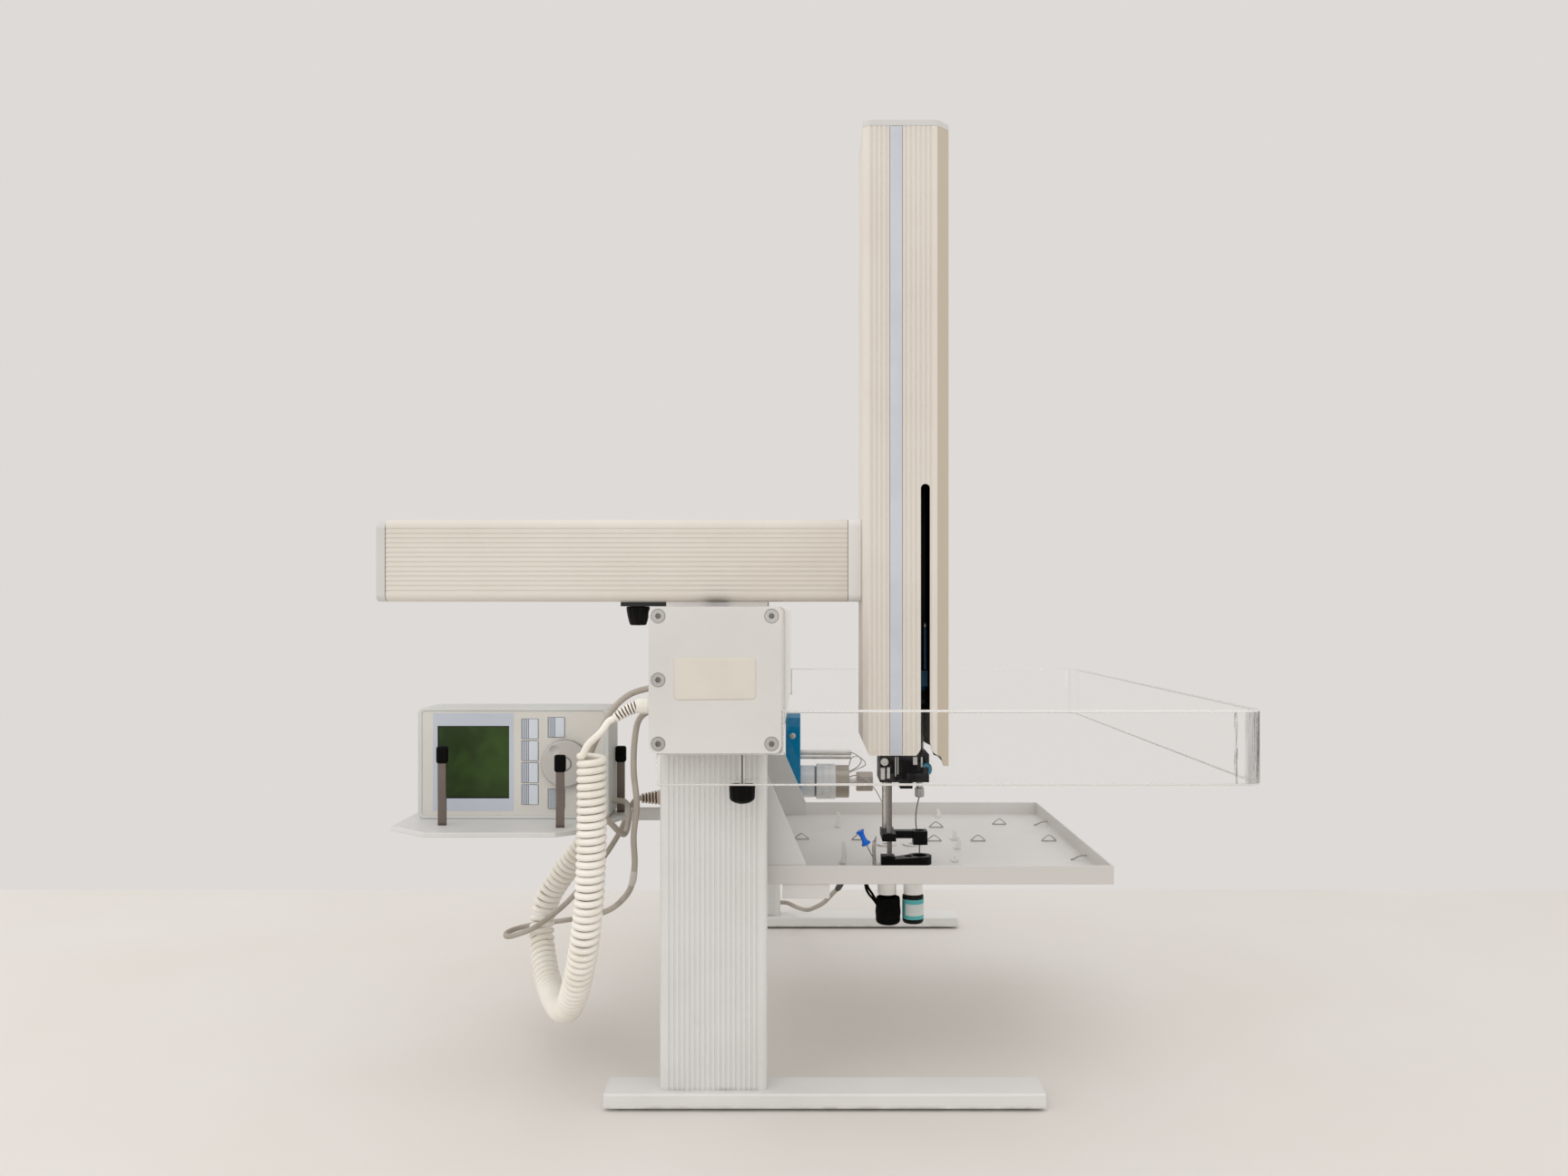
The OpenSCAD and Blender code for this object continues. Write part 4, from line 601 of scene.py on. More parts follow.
# Tower: a ribbed aluminium extrusion in the same cream, under a chamfered grey lid. Its front corners are
# painted a darker, warmer tan, partly a warmer tint and partly painted shade, and its inside is painted
# near-black as painted shade.
skin = cap_coat("tower_lid_grey")
skin.patch(skin.less("Z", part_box("tower_top_cap")[0].z + 0.0007), joint_dark)
softened("tower_lid", "tower_top_cap", 0.0008, skin, "arm", 3)
tower_low, tower_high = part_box("tower_cover")
tower_deep, tower_wide = (tower_high.y - tower_low.y) / 2, tower_high.x - tower_low.x
wall_half, front_chamfer, rear_chamfer, arris = 0.0012, 0.012, 0.005, 0.0002
skin = coat("tower_cover_shaded", (221, 214, 205), (215, 207, 197), **cover_paint)
half_y = skin.off("Y", middle_of("tower_cover")[1])
from_rear = skin.work("SUBTRACT", "X", tower_low.x)
to_front, to_rear = skin.work("ADD", from_rear, half_y), skin.work("SUBTRACT", half_y, from_rear)
bevel_at = tower_wide + tower_deep - front_chamfer
corner = skin.all_of(skin.more(to_front, bevel_at - 2 * arris), skin.less(half_y, tower_deep - arris),
                     skin.less(from_rear, tower_wide - arris))
inside = skin.all_of(
    skin.between(from_rear, wall_half, tower_wide - wall_half), skin.less(half_y, tower_deep - wall_half),
    skin.less(to_front, bevel_at - 1.5 * wall_half),
    skin.less(to_rear, tower_deep - rear_chamfer - 1.5 * wall_half))
# Painted shade: the front chamfers darker and warmer (partly a warmer tint too), and the inside near-black.
skin.patch(corner, (192, 180, 161)).patch(inside, (12, 12, 13))
softened("tower_shell", "tower_cover", 0.00028, skin, "arm")


# Tower stripe: a blue-grey plastic strip snapped into a shallow channel on both broad sides, with a
# fine dark line along each edge.
stripe_wide, stripe_foot, stripe_sunk = 0.0124, 0.3026, 0.0001
stripe_mid = tower_low.x + 0.0303
skin = Finish("stripe_grey", (199, 203, 210), 0.38).mottle((188, 192, 200), 14.0, 4.0).grain(1500.0, 0.04)
skin.patch(skin.spread(skin.off("X", stripe_mid), 0.0055, 0.0057), (150, 150, 152))
across = np.linspace(-1, 1, 29)[:, None]
crown = stripe_sunk + 0.0004 * np.abs(across) ** 8
heights = np.array([[stripe_foot, tower_high.z - 0.0002]])
for name, way, face in (("stripe_near", -1, tower_low.y), ("stripe_far", 1, tower_high.y)):
    strip = grid_mesh(name, (stripe_mid + stripe_wide / 2 * across, face - way * crown, heights), flip=way > 0)
    fit(strip, skin, body="arm")


# Carriage: a milled and painted plate that runs in the beam's slot and carries the arm; its end behind
# the beam, where the lock knob sits, is black.
skin = coat("plate_alu", (228, 226, 223), (220, 217, 213), 0.45, 900.0, 0.05)
dress(skin.patch(skin.less("X", beam_low.x - 0.001), (12, 12, 13)), "carriage")


# Arm lock knob: a black moulded knob on a threaded stem under the carriage's rear end, with finger
# flutes round its skirt.
def fluted_knob(name, fall, mid, flutes, depth):
    """A turned knob with finger flutes: pairs of height and radius carried round an upright axis, the
    radius drawn in by a share of itself at evenly spaced angles; stems under 5 mm stay round."""
    turn = np.linspace(0, full_turn, 144, endpoint=False)
    z, r = fall[:, :1], fall[:, 1:]
    r = r * (1 - depth * np.abs(np.cos(flutes / 2 * turn)) ** 6 * (r > 0.005))
    return grid_mesh(name, (mid[0] + r * np.cos(turn), mid[1] + r * np.sin(turn), z), round_v=True, flip=True,
                     sharp=40)


knob_black = Finish("knob_black", (10, 10, 10), 0.42, shine=0.1).mottle((22, 22, 21), 90.0, 4.0, high=0.75)
knob_black.uneven(0.34, 0.52, 60.0).grain(1600.0, 0.1)
lock_fall = np.array([[0.4436, 0.0030], [0.4395, 0.0030], [0.4392, 0.0106], [0.4386, 0.0113], [0.4360, 0.0113],
                      [0.4300, 0.0102], [0.4250, 0.0090], [0.4220, 0.0080], [0.4212, 0.0070], [0.4210, 0.0002]])
fit(fluted_knob("lock_knob_fluted", lock_fall, middle_of("arm_lock_knob"), 9, 0.06), knob_black,
    "arm_lock_knob", "arm_lock_knob")


# Syringe carriage: a block of black plastic that runs on the spine, with a socket screw, a steel
# latch, two pins and a teal catch on the side that faces the viewer.
def lathe(name, profile, centre, axis, sides, flip=False):
    """A turned shape: pairs of height and radius, in millimetres, carried round an axis through a
    centre."""
    profile = np.array(profile, float) / 1000
    z = unit(np.array(axis, float))
    x = unit(np.cross(z, [0.31, 0.55, 0.77]))
    a = np.linspace(0, full_turn, sides, endpoint=False)[:, None]
    ring = np.cos(a) * x + np.sin(a) * np.cross(z, x)
    points = np.array(centre) + profile[:, 0, None, None] * z + profile[:, 1, None, None] * ring[None]
    return grid_mesh(name, points, round_v=True, flip=flip, sharp=35)


block_black = coat("block_black", (6, 6, 8), (12, 12, 14), 0.38, 1400.0, shine=0.08)
softened("carriage_block", "syringe_carriage", 0.0006, block_black, "syringe_carriage")
screw_steel = brushed("screw_steel", (196, 195, 192), 0.34, 900.0)
towards_viewer, block_face = (0, -1, 0), -286
screw = lathe("block_screw", [[0, 0.1], [0, 3.9], [2.0, 3.9], [2.6, 3.5], [2.6, 2.1], [1.2, 2.0], [1.2, 0.1]],
              at([150.4, block_face, 293]), towards_viewer, 36)
fit(screw, screw_steel, body="syringe_carriage")
for name, x0, x1, z0, z1, out, r in (
        ("latch", 146.3, 151.1, 276, 288, 2.6, 0.0012), ("spring", 152.4, 155.6, 277, 288, 1.4, 0.0006),
        ("pin_1", 160.0, 161.4, 279, 297.8, 1.6, 0.0006), ("pin_2", 162.3, 163.6, 281, 297.8, 1.6, 0.0006),
        ("stop", 177.0, 181.6, 290, 297.8, 1.2, 0.0006), ("strip", 184.4, 186.6, 288, 297.9, 1.6, 0.0006)):
    trim = rounded_block("block_" + name, at([x0, block_face - out, z0]), at([x1, block_face + 0.4, z1]), r)
    fit(trim, screw_steel, body="syringe_carriage")
catch_line = smooth_through(at([[186.6, -288.4, 289.6], [189.4, -288.8, 290.4], [192.0, -289, 289.4],
                                [193.2, -289, 286.6], [193.0, -289, 284.0], [192.0, -289, 281.8]]), 8)
catch_radii = 0.0021 - 0.0009 * np.linspace(0, 1, len(catch_line)) ** 2
catch_teal = coat("catch_teal", (22, 120, 146), (16, 100, 126), 0.38, 1200.0, 0.05)
fit(sleeve("teal_catch", catch_line, catch_radii, sides=16), catch_teal, body="syringe_carriage")


# Syringe and plunger: a glass barrel with a steel plunger, driven by a blue moulded slide that a thin
# strip draws up behind the tower's slot.
barrel_glass = Finish("barrel_glass", (236, 241, 241), 0.06).put(Transmission_Weight=0.9, IOR=1.47)
dress(barrel_glass.uneven(0.03, 0.1, 300.0, start=0.4), "syringe_barrel")
slide_blue = coat("slide_blue", (14, 104, 146), (10, 92, 130), 0.36, 1200.0, 0.05)
dress(slide_blue, "plunger")
strip = rounded_block("plunger_strip", *at([[189.0, -270.5, 379], [191.6, -268.5, 424]]), 0.0005)
fit(strip, slide_blue, body="plunger")
screw = lathe("plunger_screw", [[-1.2, 0.1], [-1.2, 1.9], [0.4, 1.8], [0.8, 1.2], [0.8, 0.1]],
              at([190.3, -270.5, 421]), towards_viewer, 24)
fit(screw, screw_steel, body="plunger")


# Needle: a knurled steel nut under the block holds a fine steel tube that has been bent a little.
# The tube ends just above the guide's lower ring.
def ridged(name, heights, radii, centre, axis, ridges, lift, bounds):
    """A turned shape with straight ridges: heights and radii, in millimetres, carried round an axis, the
    radius raised and lowered in turn by a share of itself where the height is between two bounds."""
    turn = np.linspace(0, full_turn, 5 * ridges, endpoint=False)
    run, r = (np.array(v)[:, None] / 1000 for v in (heights, radii))
    held = (run > bounds[0] / 1000) & (run < bounds[1] / 1000)
    r = r * (1 + lift * np.sign(np.sin(ridges * turn)) * held)
    x, y, z = centre
    around = r * np.cos(turn), r * np.sin(turn)
    a, b, c = (run, *around) if axis == "X" else (*around, run)
    return grid_mesh(name, (x + a, y + b, z + c), round_v=True, sharp=30)


needle_steel = brushed("needle_steel", (178, 178, 176), 0.3, 900.0)
needle_low, needle_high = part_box("needle")
needle_x, needle_y = middle_of("syringe_barrel")[0], -0.264
nut_tall, tube_radius, tube_bow = 0.0169, 0.0006, 0.0036
nut_low = needle_high.z - nut_tall
tube_top = nut_low + 0.001
down = np.linspace(0, 1, 61)
needle_line = np.stack([needle_x - tube_bow * np.sin(math.pi * np.minimum(down / 0.8, 1)),
                        np.full_like(down, needle_y), tube_top - down * (tube_top - needle_low.z)], axis=1)
fit(sleeve("needle_tube", needle_line, np.full_like(down, tube_radius), sides=12),
    brushed("tube_dark", (112, 109, 105), 0.34, 900.0), "needle", "syringe_carriage")
nut = ridged("needle_nut", [0.0, 0.0, 0.6, 1.2, 8.0, 8.6, 9.0, 9.1, 16.9, 16.9],
             [0.1, 3.8, 4.2, 4.3, 4.3, 4.2, 3.8, 3.0, 3.0, 0.1], (needle_x, needle_y, nut_low), "Z", 24, 0.035,
             (0.6, 8.6))
fit(nut, needle_steel, body="syringe_carriage")


# Needle guide: black plastic arms on two ground steel rods, with a folded steel lever at the rear.
# The rods slide in the carriage's block.
guide_black = coat("guide_black", (7, 7, 7), (14, 14, 14), 0.38, 1400.0, shine=0.08)
softened("guide_arms", "needle_guide", 0.0006, guide_black, "needle_guide")
rod_low, rod_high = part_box("guide_rods")
lever_end = at([150, 0, 0])[0]
skin = Finish("rod_steel", (150, 143, 137), 0.26, 0.6).uneven(0.2, 0.34, 300.0, 2.0, stretch=(30, 30, 1))
# Bright and dark bands across the rods are painted reflections on their ground steel.
reflection_ramp = skin.node("ValToRGB", Fac=skin.spread("X", rod_low.x, rod_high.x))
reflection_stops = reflection_ramp.color_ramp.elements
for share, grey in ((0.16, 92), (0.24, 186), (0.36, 190), (0.42, 66), (0.5, 60), (0.57, 214), (0.68, 218),
                    (0.76, 118)):
    reflection_stops.new(share).color = tone(grey, 0.97 * grey, 0.94 * grey)
reflection_stops[0].color, reflection_stops[-1].color = tone(84, 80, 77), tone(102, 93, 87)
skin.put(Base_Color=reflection_ramp.outputs["Color"]).patch(skin.less("X", lever_end), (178, 174, 169))
dress(skin, "guide_rods")
lever_steel = brushed("lever_steel", (170, 164, 157), 0.26, 300.0, (30, 30, 1), 0.35)
lever_root, lever_tall, lever_half, lever_bulge = np.array([142.6, -279, 196.5]), 25, 4.6, 3.6
s, t = np.meshgrid(np.linspace(0, 1, 33), np.linspace(-1, 1, 17), indexing="ij")
reach = lever_half * np.sqrt(np.maximum(1 - (2 * s - 1) ** 4, 0.0004))
lever_plate = grid_mesh("lever_plate", at(lever_root + np.stack([
    -lever_bulge * np.sin(math.pi * s) * (1 - 0.8 * t ** 2), reach * t, lever_tall * s], axis=-1)))
lever_plate.modifiers.new("sheet", "SOLIDIFY").thickness = 0.0006
fit(lever_plate, lever_steel, body="needle_guide")


# Push pin: a drawing pin with a blue moulded head on a steel shank, stuck slantwise into the lever.
# It serves as a finger grip.
pin_tilt, pin_tip = math.radians(26), at([140.4, -279, 200.0])
pin_way = np.array([-math.sin(pin_tilt), 0, math.cos(pin_tilt)])
head = lathe("pin_head", [[15.0, 0.2], [15.0, 4.0], [15.4, 4.5], [16.6, 4.5], [17.2, 4.0], [17.6, 3.3],
                          [19.5, 2.6], [22.0, 2.3], [25.0, 2.5], [27.4, 3.0], [27.9, 3.7], [28.3, 4.1],
                          [29.3, 4.1], [29.7, 3.6], [29.8, 0.2]], pin_tip, pin_way, 40)
pin_blue = coat("pin_blue", (10, 110, 222), (8, 100, 208), 0.3, 900.0, 0.03, 0.3)
fit(head, pin_blue, "push_pin", "needle_guide")
shank = lathe("pin_shank", [[0, 0.05], [3.0, 0.6], [15.5, 0.6], [15.6, 0.05]], pin_tip, pin_way, 16)
fit(shank, screw_steel, body="needle_guide")


# Tray and bracket: folded sheet steel, painted light grey; gussets at both ends carry the pan from the underside
# of the beam. The near lip's front face is a little darker.
skin = coat("tray_grey", (217, 214, 211), (212, 209, 205), 0.45, 1000.0, 0.02)
skin.patch(skin.less("Y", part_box("tray_pan")[0].y + 0.0004), (205, 201, 197))
softened("tray_sheet", "tray_pan", 0.0006, skin)
bracket_grey = coat("bracket_grey", (207, 206, 204), (199, 197, 194), 0.42, 1000.0, 0.05)
softened("bracket_sheet", "tray_bracket", 0.0005, bracket_grey)


# Tray fittings: bent wire bails and pale sheet posts that hold the racks stand in rows on the tray's
# floor, with two wire hooks by the front rim.
def bent_wire(name, points, thickness, sides=10):
    """A wire of even thickness along a smooth curve through points."""
    line = smooth_through(at(points), 6)
    return sleeve(name, line, np.full(len(line), thickness / 2), sides=sides)


floor_z = 188.0
bail_steel = brushed("bail_steel", (186, 183, 178), 0.34, 700.0)
for name, wire, shape, places in (
        ("rack_bail_%d", 0.0013, [[0, 0, 0.6], [-6.4, 0, 0.6], [-7.6, 0, 0.8], [-6.8, 0, 1.8], [-4, 0, 4.2],
                                  [-1.2, 0, 6.2], [1.2, 0, 6.2], [4, 0, 4.2], [6.8, 0, 1.8], [7.6, 0, 0.8],
                                  [6.4, 0, 0.6], [0, 0, 0.6]],
         ((214, -130), (261, -130), (337, -130), (225, -49), (134, -124), (72, -120), (300, -30))),
        ("rim_hook_%d", 0.0014, [[-5, 0, 0.7], [-1, 2, 1.6], [3, -1, 4.2], [6.5, 0, 4.8], [10.4, 0, 4.8]],
         ((344, -37), (344, -228)))):
    for i, (x, y) in enumerate(places, 1):
        fit(bent_wire(name % i, np.array(shape) + [x, y, floor_z], wire), bail_steel)
post_pale = coat("post_pale", (234, 232, 229), (226, 223, 219), 0.4, 1200.0, 0.05)
run, across = np.meshgrid(np.linspace(0, 1, 41), np.linspace(-1, 1, 7), indexing="ij")
fold, tab_long, tab_half = 0.4, 10, 3.0
rise = np.clip((run - fold) / (1 - fold), 0, 1)
for i, (x, y, tall) in enumerate(((113, -49, 17), (112.6, -245, 21), (234, 17, 9.5), (236, -124, 10),
                                  (234, -173, 13), (223, -236, 6)), 1):
    sheet = grid_mesh("rack_post_%d" % i, at(np.stack(
        [x + tab_half * (1 - 0.5 * rise) * across + 1.2 * np.sin(math.pi * rise),
         y + tab_long * (1 - np.minimum(run / fold, 1)), floor_z + 0.6 + tall * rise], axis=-1)))
    sheet.modifiers.new("sheet", "SOLIDIFY").thickness = 0.0009
    fit(sheet, post_pale)


# Wash vials: two vials pushed up into white collars under the tray. One stands in a black foam
# sleeve with a cord loop, the other is dark glass with a plain teal label.
skin = Finish("collar_white", (245, 244, 242), 0.35).mottle((238, 236, 232), 90.0).grain(1500.0, 0.04)
# The collars are whiter below the tray's floor than above it: painted light against the tray's shadow below.
dress(skin.patch(skin.more("Z", floor_z / 1000 - 0.0004), (214, 211, 208)), "wash_collars")
# The vents' shallow cups are painted grey, as painted shade in the holes.
vent_dark = Finish("vent_dark", (150, 146, 140), 0.6).uneven(0.5, 0.7, 500.0)
vial_y, vial_top = -150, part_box("wash_vials")[1].z * 1000
for i, x in enumerate((162, 189.5), 1):
    vent = lathe("collar_vent_%d" % i, [[0.0, 0.1], [0.0, 1.7], [-0.6, 2.1], [-1.0, 2.1]],
                 at([x - 6.6, vial_y - 7.7, 176]), (-0.65, -0.76, 0), 24, True)
    fit(vent, vent_dark)
foam_black = Finish("foam_black", (5, 5, 5), 0.85, shine=0.1).mottle((14, 14, 14), 900.0, 4.0)
foam_black.grain(900.0, 0.35, 0.0006, 4.0)
s, straight = np.linspace(0, 1, 70), 0.72
bottom = np.clip((s - straight) / (1 - straight), 0, 1) * math.pi / 2
pouch_z = -3.2 - 23 * np.minimum(s / straight, 1) - 6.0 * np.sin(bottom)
pouch_r = (12.0 + 1.1 * np.minimum(s / 0.3, 1) + 0.25 * np.sin(s * 16)) * np.cos(bottom) ** 0.45
pouch_r[0] = 11.0
pouch = lathe("vial_pouch", np.c_[pouch_z, np.maximum(pouch_r, 0.05)], at([163.2, vial_y, vial_top]), (0, 0, 1),
              56, True)
fit(pouch, foam_black, "wash_vials")
for name, points in (
        ("pouch_loop", [[151.6, -152, 128], [149.5, -153, 132], [146, -154, 138], [141.5, -153, 145],
                        [139.6, -152, 156], [140, -151, 168], [140.5, -150, 186]]),
        ("pouch_strap", [[151.2, -157, 127], [147, -158, 133], [142.5, -157, 138], [139.4, -155, 145],
                         [138.8, -154, 158], [139.4, -153, 170], [139.8, -152, 186]])):
    fit(bent_wire(name, points, 0.0026, 12), foam_black)
vial_foot = vial_top / 1000 - 0.031
glass_rough, paper_rough, pale_from = 0.12, 0.42, 0.1155
skin = Finish("glass_dark", (12, 14, 15), glass_rough, shine=0.15)
paper = skin.between("Z", vial_foot + 0.0056, vial_foot + 0.0262)
pale = skin.all_of(skin.between("Z", vial_foot + 0.0095, vial_foot + 0.0215), skin.more("X", pale_from))
teal = skin.mix(skin.cloud(120.0), (104, 192, 194), (86, 178, 182))
skin.patch(paper, skin.mix(pale, teal, (214, 222, 220)))
skin.put(Roughness=skin.spread(paper, 0, 1, glass_rough, paper_rough))
vial = lathe("vial_glass", [[0, 0.05], [0, 9.6], [-1.5, 11.1], [-3, 11.3], [-26, 11.3], [-28.5, 11.1],
                            [-30, 10.2], [-30.6, 8.8], [-31, 6.0], [-31, 0.05]],
             at([189.5, vial_y, vial_top]), (0, 0, 1), 56, True)
fit(vial, skin)


# Switching valve: a blue-painted bracket hangs from the beam; an actuator turns the rotor from
# behind, and a turned steel valve with a knurled fitting and two stay rods looks to the front.
bracket_blue = coat("bracket_blue", (0, 122, 168), (0, 112, 156), 0.42, 1100.0, 0.05, 0.04)
softened("blue_bracket", "valve_bracket", 0.0008, bracket_blue)
dress(coat("actuator_grey", (122, 123, 125), (108, 109, 111), 0.45, 900.0, 0.07), "valve_actuator")
dress(coat("rotor_tan", (150, 140, 124), (138, 127, 111), 0.5, 900.0, 0.05), "valve_rotor")
screw = lathe("bracket_screw", [[-0.6, 0.1], [-0.6, 3.9], [1.2, 3.8], [1.8, 3.0], [2.0, 1.9], [0.8, 1.8],
                                [0.8, 0.1]],
              (at([60.5, 0, 0])[0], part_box("valve_bracket")[0].y, 0.2803), towards_viewer, 32)
fit(screw, screw_steel)
valve_low, valve_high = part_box("valve_body")
valve_mid = np.array([0, *middle_of("valve_body")[1:]])
turned_body = lathe("valve_turned", [
    [0, 0.05], [0, 19.4], [0.6, 20], [17.5, 20], [18.2, 19], [19.6, 19], [20, 21.4], [20.8, 22], [27, 22],
    [27.3, 21.5], [28, 21.5], [28.3, 22], [36, 22], [36.3, 21.5], [37, 21.5], [37.3, 22], [43.2, 22],
    [44, 21.2], [44.2, 20.4], [60.2, 20.4], [61, 19.6], [61, 0.05]],
    valve_mid + [valve_low.x, 0, 0], (1, 0, 0), 96)
skin = Finish("valve_steel", (218, 219, 219), 0.4).mottle((208, 209, 209), 50.0)
neck = skin.between("X", valve_low.x + 0.0179, valve_low.x + 0.0199)
front = skin.more("X", valve_low.x + 0.0441)
# The front section is a warm steel, painted darker than its own tone as painted shade from the capillaries in
# front of it.
skin.patch(neck, (108, 116, 126)).patch(front, (168, 160, 151)).put(Metallic=skin.spread(front, 0, 1, 0.15, 0.9))
skin.bump(skin.cloud(60.0, 2.0, (60, 1, 1)), 0.05, 0.0002)
fit(turned_body, skin, "valve_body")
dress(brushed("stay_steel", (214, 212, 209), 0.3, 200.0, (1, 30, 30)), "valve_fittings")
knurl = ridged("fitting_knurl", [9.4, 9.6, 10.4, 11.2, 28.6, 29.4, 30.0],
               [11.2, 11.45, 11.75, 11.9, 11.9, 11.65, 11.2], valve_mid + [valve_high.x, 0, 0], "X", 36, 0.02,
               (0, 1000))
fit(knurl, brushed("fit_steel", (182, 174, 165), 0.38, 800.0))


# Capillaries: fine steel tubes bent by hand from port to port on the valve's front, and one that hangs
# open below it.
for name, thickness, far_end, points in (
        ("capillary_1", 0.0012, "object", [[131, 92, 233], [137, 90, 236], [143, 86, 241], [146, 82, 248],
                                           [142, 79, 254], [135, 78, 258], [131.5, 79, 258]]),
        ("capillary_2", 0.0012, "object", [[131, 100, 230], [138, 102, 233], [146, 104, 236], [152, 101, 240],
                                           [150, 95, 246], [142, 90, 252], [134, 88, 250], [131, 90, 240]]),
        ("capillary_tail", 0.0013, "bare", [[131, 90, 226], [138, 84, 229], [147, 80, 228], [156, 79, 221],
                                            [164, 79, 211], [170, 79, 200], [174, 79, 190]])):
    line = smooth_through(at(points), 8)
    tube = fit(cord_curve(name, line, thickness, 3), needle_steel)


# Guard: one sheet of clear acrylic bent round the tray's front, polished on its edges, which carry a whitish
# half-clear finish as a painted highlight, and a little hazy where it was bent hot, with a grey band and a dark
# line painted at the near bend as streaks of refracted light and shade. Each end has a tongue and a foot under
# the beam, clamped by a knob.
def see_through(skin, share, colour):
    """Shows a finish by a share from 0 to 1, and a clear pane for the rest."""
    pane = skin.node("MixShader", Fac=share)
    skin.link(skin.node("BsdfTransparent", Color=colour).outputs[0], pane.inputs[1])
    skin.link(skin.shader.outputs[0], pane.inputs[2])
    skin.link(pane.outputs[0], skin.tree.nodes["Material Output"].inputs["Surface"])


guard_low, guard_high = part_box("guard")
acrylic_ior, sheet_thick, tab_end = 1.49, 0.0039, 0.02
bend_start, bend_full, dark_streak_x = guard_high.x - 0.0165, guard_high.x - 0.0155, guard_high.x - 0.0237
skin = Finish("guard_clear", (0.995, 1.0, 0.997, 1.0), 0.02).put(Transmission_Weight=1.0, IOR=acrylic_ior)
near_side = skin.spread("Y", guard_low.y + 0.016, guard_low.y + 0.014)
bend_haze_and_streaks = skin.all_of(near_side, skin.spread("X", bend_start, bend_full),
                   skin.spread(skin.cloud(60.0, 4.0, (7, 7, 0.35)), 0.4, 0.65, 0.35, 1))
painted_dark_streak = skin.all_of(near_side, skin.spread(skin.off("X", dark_streak_x), 0.0006, 0.0013, 1, 0),
                     skin.spread(skin.cloud(60.0, 4.0, (7, 7, 1.5)), 0.36, 0.6, 0.25, 1))
# The grey band and the dark line at the near bend are painted streaks of refracted light and shade; the
# roughness and relief there are the haze.
skin.patch(bend_haze_and_streaks, (0.66, 0.66, 0.65, 1.0)).patch(painted_dark_streak, (0.28, 0.27, 0.26, 1.0)).bump(bend_haze_and_streaks, 0.3, 0.002)
skin.put(Roughness=skin.spread(skin.work("MAXIMUM", bend_haze_and_streaks, painted_dark_streak), 0, 1, 0.0, 0.2))
bent = skin.spread("X", bend_start, bend_full, 0.03, 1)
lit = skin.work("SUBTRACT", 1.0, skin.node("LightPath").outputs["Is Shadow Ray"])
see_through(skin, skin.all_of(skin.work("MAXIMUM", bent, painted_dark_streak), lit), (0.997, 0.998, 0.997, 1))
guard_sheet = softened("guard_sheet", "guard", 0.0018, skin, steps=3)
# The edges' whitish half-clear finish is a painted highlight for the light the polished edges catch.
skin = Finish("guard_edge_highlight", (231, 229, 226), 0.3).put(Transmission_Weight=0.25, IOR=acrylic_ior)
skin.uneven(0.2, 0.4, 120.0, 4.0, 0.4)
tab = skin.all_of(skin.between("Y", guard_low.y + sheet_thick, guard_high.y - sheet_thick),
                  skin.less("X", tab_end))
see_through(skin, skin.spread(tab, 0, 1, 1, 0.06), (1, 1, 1, 1))
guard_sheet.data.materials.append(skin.mat)
guard_sheet.modifiers["broken_edges"].material = 1
guard_sheet.modifiers["broken_edges"].use_clamp_overlap = False


# Guard knobs: two black moulded knobs with rounded bottoms on bright threaded stems, which clamp the
# guard's tongues to the underside of the beam.
stem_line, stem_mid = guard_low.z - 0.0005, middle_of("near_guard_knob")[0]
skin = Finish("knob_stemmed", (6, 6, 6), 0.4, shine=0.08).uneven(0.32, 0.5, 90.0)
stem = skin.more("Z", stem_line)
# The stem's light sides and darker middle are a painted reflection on the round steel.
painted_dark_middle = skin.spread(skin.off("X", stem_mid), 0.0007, 0.0011, 1, 0)
skin.patch(stem, skin.mix(painted_dark_middle, (222, 220, 217), (118, 114, 109))).put(Metallic=skin.spread(stem, 0, 1, 0, 0.3))
for side in ("near", "far"):
    node = side + "_guard_knob"
    low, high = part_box(node)
    fall = np.array([[high.z, 0.0001], [high.z, 0.0022], [stem_line, 0.0023], [stem_line, 0.0106],
                     [stem_line - 0.0007, 0.0115], [low.z + 0.0050, 0.0111], [low.z + 0.0030, 0.0097],
                     [low.z + 0.0013, 0.0068], [low.z + 0.0003, 0.0034], [low.z, 0.0001]])
    knob = fluted_knob(side + "_knob_moulded", fall, middle_of(node), 6, 0.05)
    fit(knob, skin, node, node)


# Terminal shelf: a folded and painted sheet bracket from the tray's back plate, with three flat brown-grey posts
# round its edge, a darker brown in a ragged band at the foot, each in a black vinyl cap.
shelf_grey = coat("shelf_grey", (214, 213, 211), (204, 202, 199), 0.42, 1000.0, 0.05)
softened("shelf_sheet", "terminal_shelf", 0.0006, shelf_grey)
post_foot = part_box("terminal_shelf")[1].z
skin = brushed("post_brown", (124, 114, 108), 0.42, 200.0, (20, 20, 1))
darker_foot = skin.all_of(skin.spread("Z", post_foot + 0.0004, post_foot + 0.0030, 1, 0),
                    skin.spread(skin.cloud(400.0, 4.0), 0.35, 0.6, 0.2, 1))
dress(skin.patch(darker_foot, (74, 44, 32)), "shelf_posts")
vinyl_black = coat("vinyl_black", (6, 6, 6), (13, 12, 12), 0.28, 1200.0, shine=0.06)
softened("post_caps_moulded", "post_caps", 0.0022, vinyl_black, steps=3)


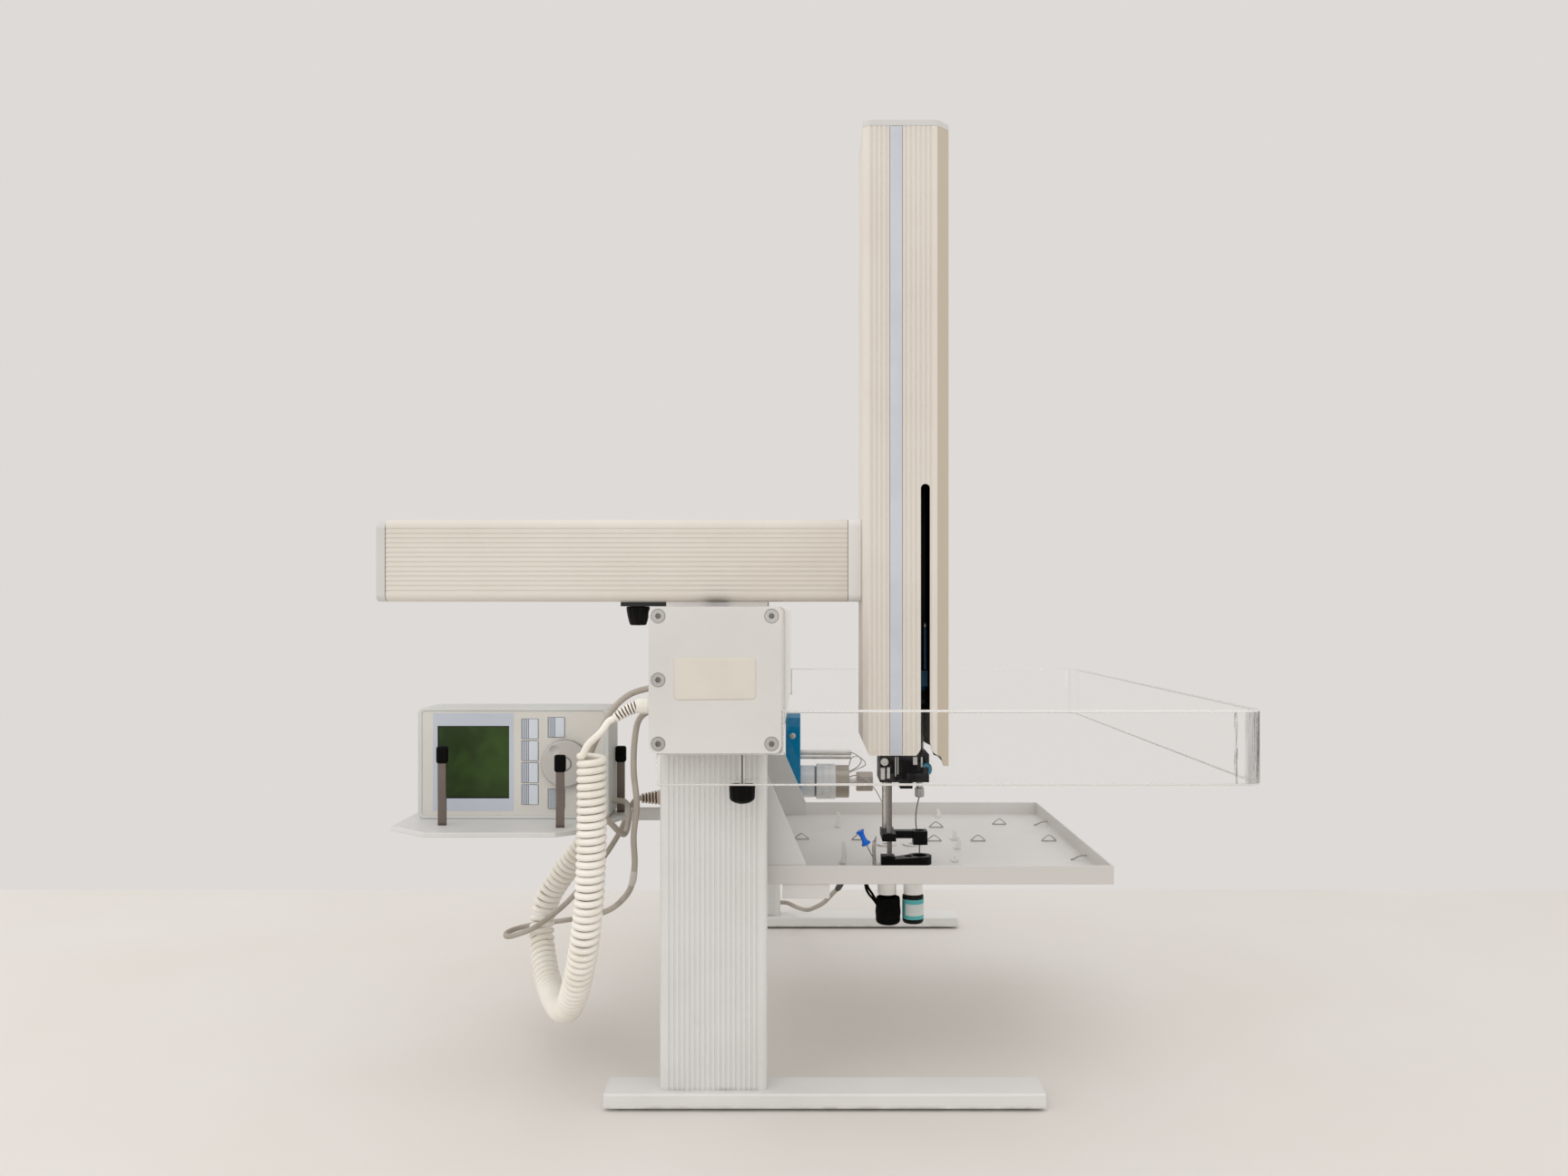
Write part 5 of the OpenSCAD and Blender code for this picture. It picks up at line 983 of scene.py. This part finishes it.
# Terminal: a grey moulded case with a cream film stuck over its front, and a green liquid-crystal
# display behind a window in the film, with a blue-grey surround.
case_grey = coat("case_grey", (207, 209, 206), (199, 200, 197), 0.45, 1200.0)
softened("case_moulded", "terminal_case", 0.0010, case_grey, steps=3)
dress(coat("panel_cream", (213, 210, 203), (207, 203, 195), 0.5, 1500.0, 0.03), "terminal_panel")
film_blue = coat("film_blue", (192, 198, 208), (184, 189, 200), 0.42, 1500.0, 0.03)
film_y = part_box("terminal_panel")[0].y - 0.00012
show_low, show_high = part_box("terminal_display")
rear_x = np.linspace(show_low.x - 0.0044, show_low.x, 5)
front_x = np.linspace(show_high.x, show_high.x + 0.0043, 5)
low_z = np.linspace(show_low.z - 0.0120, show_low.z, 5)
high_z = np.linspace(show_high.z, show_high.z + 0.0122, 5)
full_z, window_x = np.concatenate([low_z, high_z]), np.array([show_low.x, show_high.x])
for i, (xs, zs) in enumerate(((rear_x, full_z), (front_x, full_z), (window_x, low_z), (window_x, high_z)), 1):
    film = grid_mesh("display_film_%d" % i, (xs[:, None], film_y, zs[None, :]), smooth=False)
    film.modifiers.new("film", "SOLIDIFY").thickness = 0.0001
    fit(film, film_blue)
skin = Finish("display_green", (32, 50, 18), 0.3, shine=0.2).uneven(0.3, 0.45, 80.0, 4.0, 0.35)
skin.patch(skin.spread("X", show_low.x, show_high.x), (46, 64, 26))
skin.patch(skin.spread(skin.cloud(28.0, 2.0), 0.42, 0.66, 0, 0.75), (58, 86, 34))
# Dark lines along the window's left, bottom and top edges are painted shade from the film's rim.
for letter, start, end, dark in (("X", show_low.x + 0.0014, show_low.x + 0.0012, (8, 10, 8)),
                                 ("Z", show_low.z + 0.0016, show_low.z + 0.0014, (8, 10, 8)),
                                 ("Z", show_high.z - 0.0008, show_high.z - 0.0006, (18, 26, 14))):
    skin.patch(skin.spread(letter, start, end), dark)
dress(skin, "terminal_display")


# Keys: six pale blue film keys that give by a millimetre; each is printed with five grey bars on one
# half, and the other half is bare.
key_margin, key_bars = 0.001, 5
for name in ("key_1", "key_2", "key_3", "key_4", "key_stop", "key_back"):
    low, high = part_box(name)
    skin = Finish(name + "_film", (212, 218, 226), 0.45).mottle((203, 209, 219), 60.0, low=0, high=1)
    share = skin.spread("X", low.x + key_margin, high.x - key_margin)
    ruled = skin.work("FRACT", skin.work("MULTIPLY", share, 2.0 * key_bars))
    bars = skin.all_of(skin.less(ruled, 0.5), skin.less(share, 0.5), skin.less("Y", low.y + 0.0004))
    skin.patch(bars, (104, 109, 118)).grain(1500.0, 0.04)
    softened(name + "_cap", name, 0.0003, skin, name)


# Jog dial: a grey moulded wheel on the terminal's front with a finger dimple; its groove and its rim are painted
# darker, as painted shade.
dial_low, dial_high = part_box("jog_dial")
groove_radius, groove_half, rim_wide = 0.0066, 0.0006, 0.0003
dial_mid = middle_of("jog_dial")
skin = coat("dial_grey", (190, 186, 181), (180, 176, 171), 0.34, 1500.0, 0.03)
squares = [skin.work("POWER", skin.off(letter, dial_mid[k]), 2.0) for letter, k in (("X", 0), ("Z", 2))]
from_hub = skin.work("SQRT", skin.work("ADD", *squares))
rim = skin.more(from_hub, (dial_high.x - dial_low.x) / 2 - rim_wide)
groove = skin.less(skin.off(from_hub, groove_radius), groove_half)
# Painted shade in the groove and along the rim.
skin.patch(skin.work("MAXIMUM", groove, rim), (140, 135, 129))
softened("jog_dial_moulded", "jog_dial", 0.0005, skin, "jog_dial")

size = {"cad": [list(v) for v in cad_box], "visual": [list(v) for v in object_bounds()]}
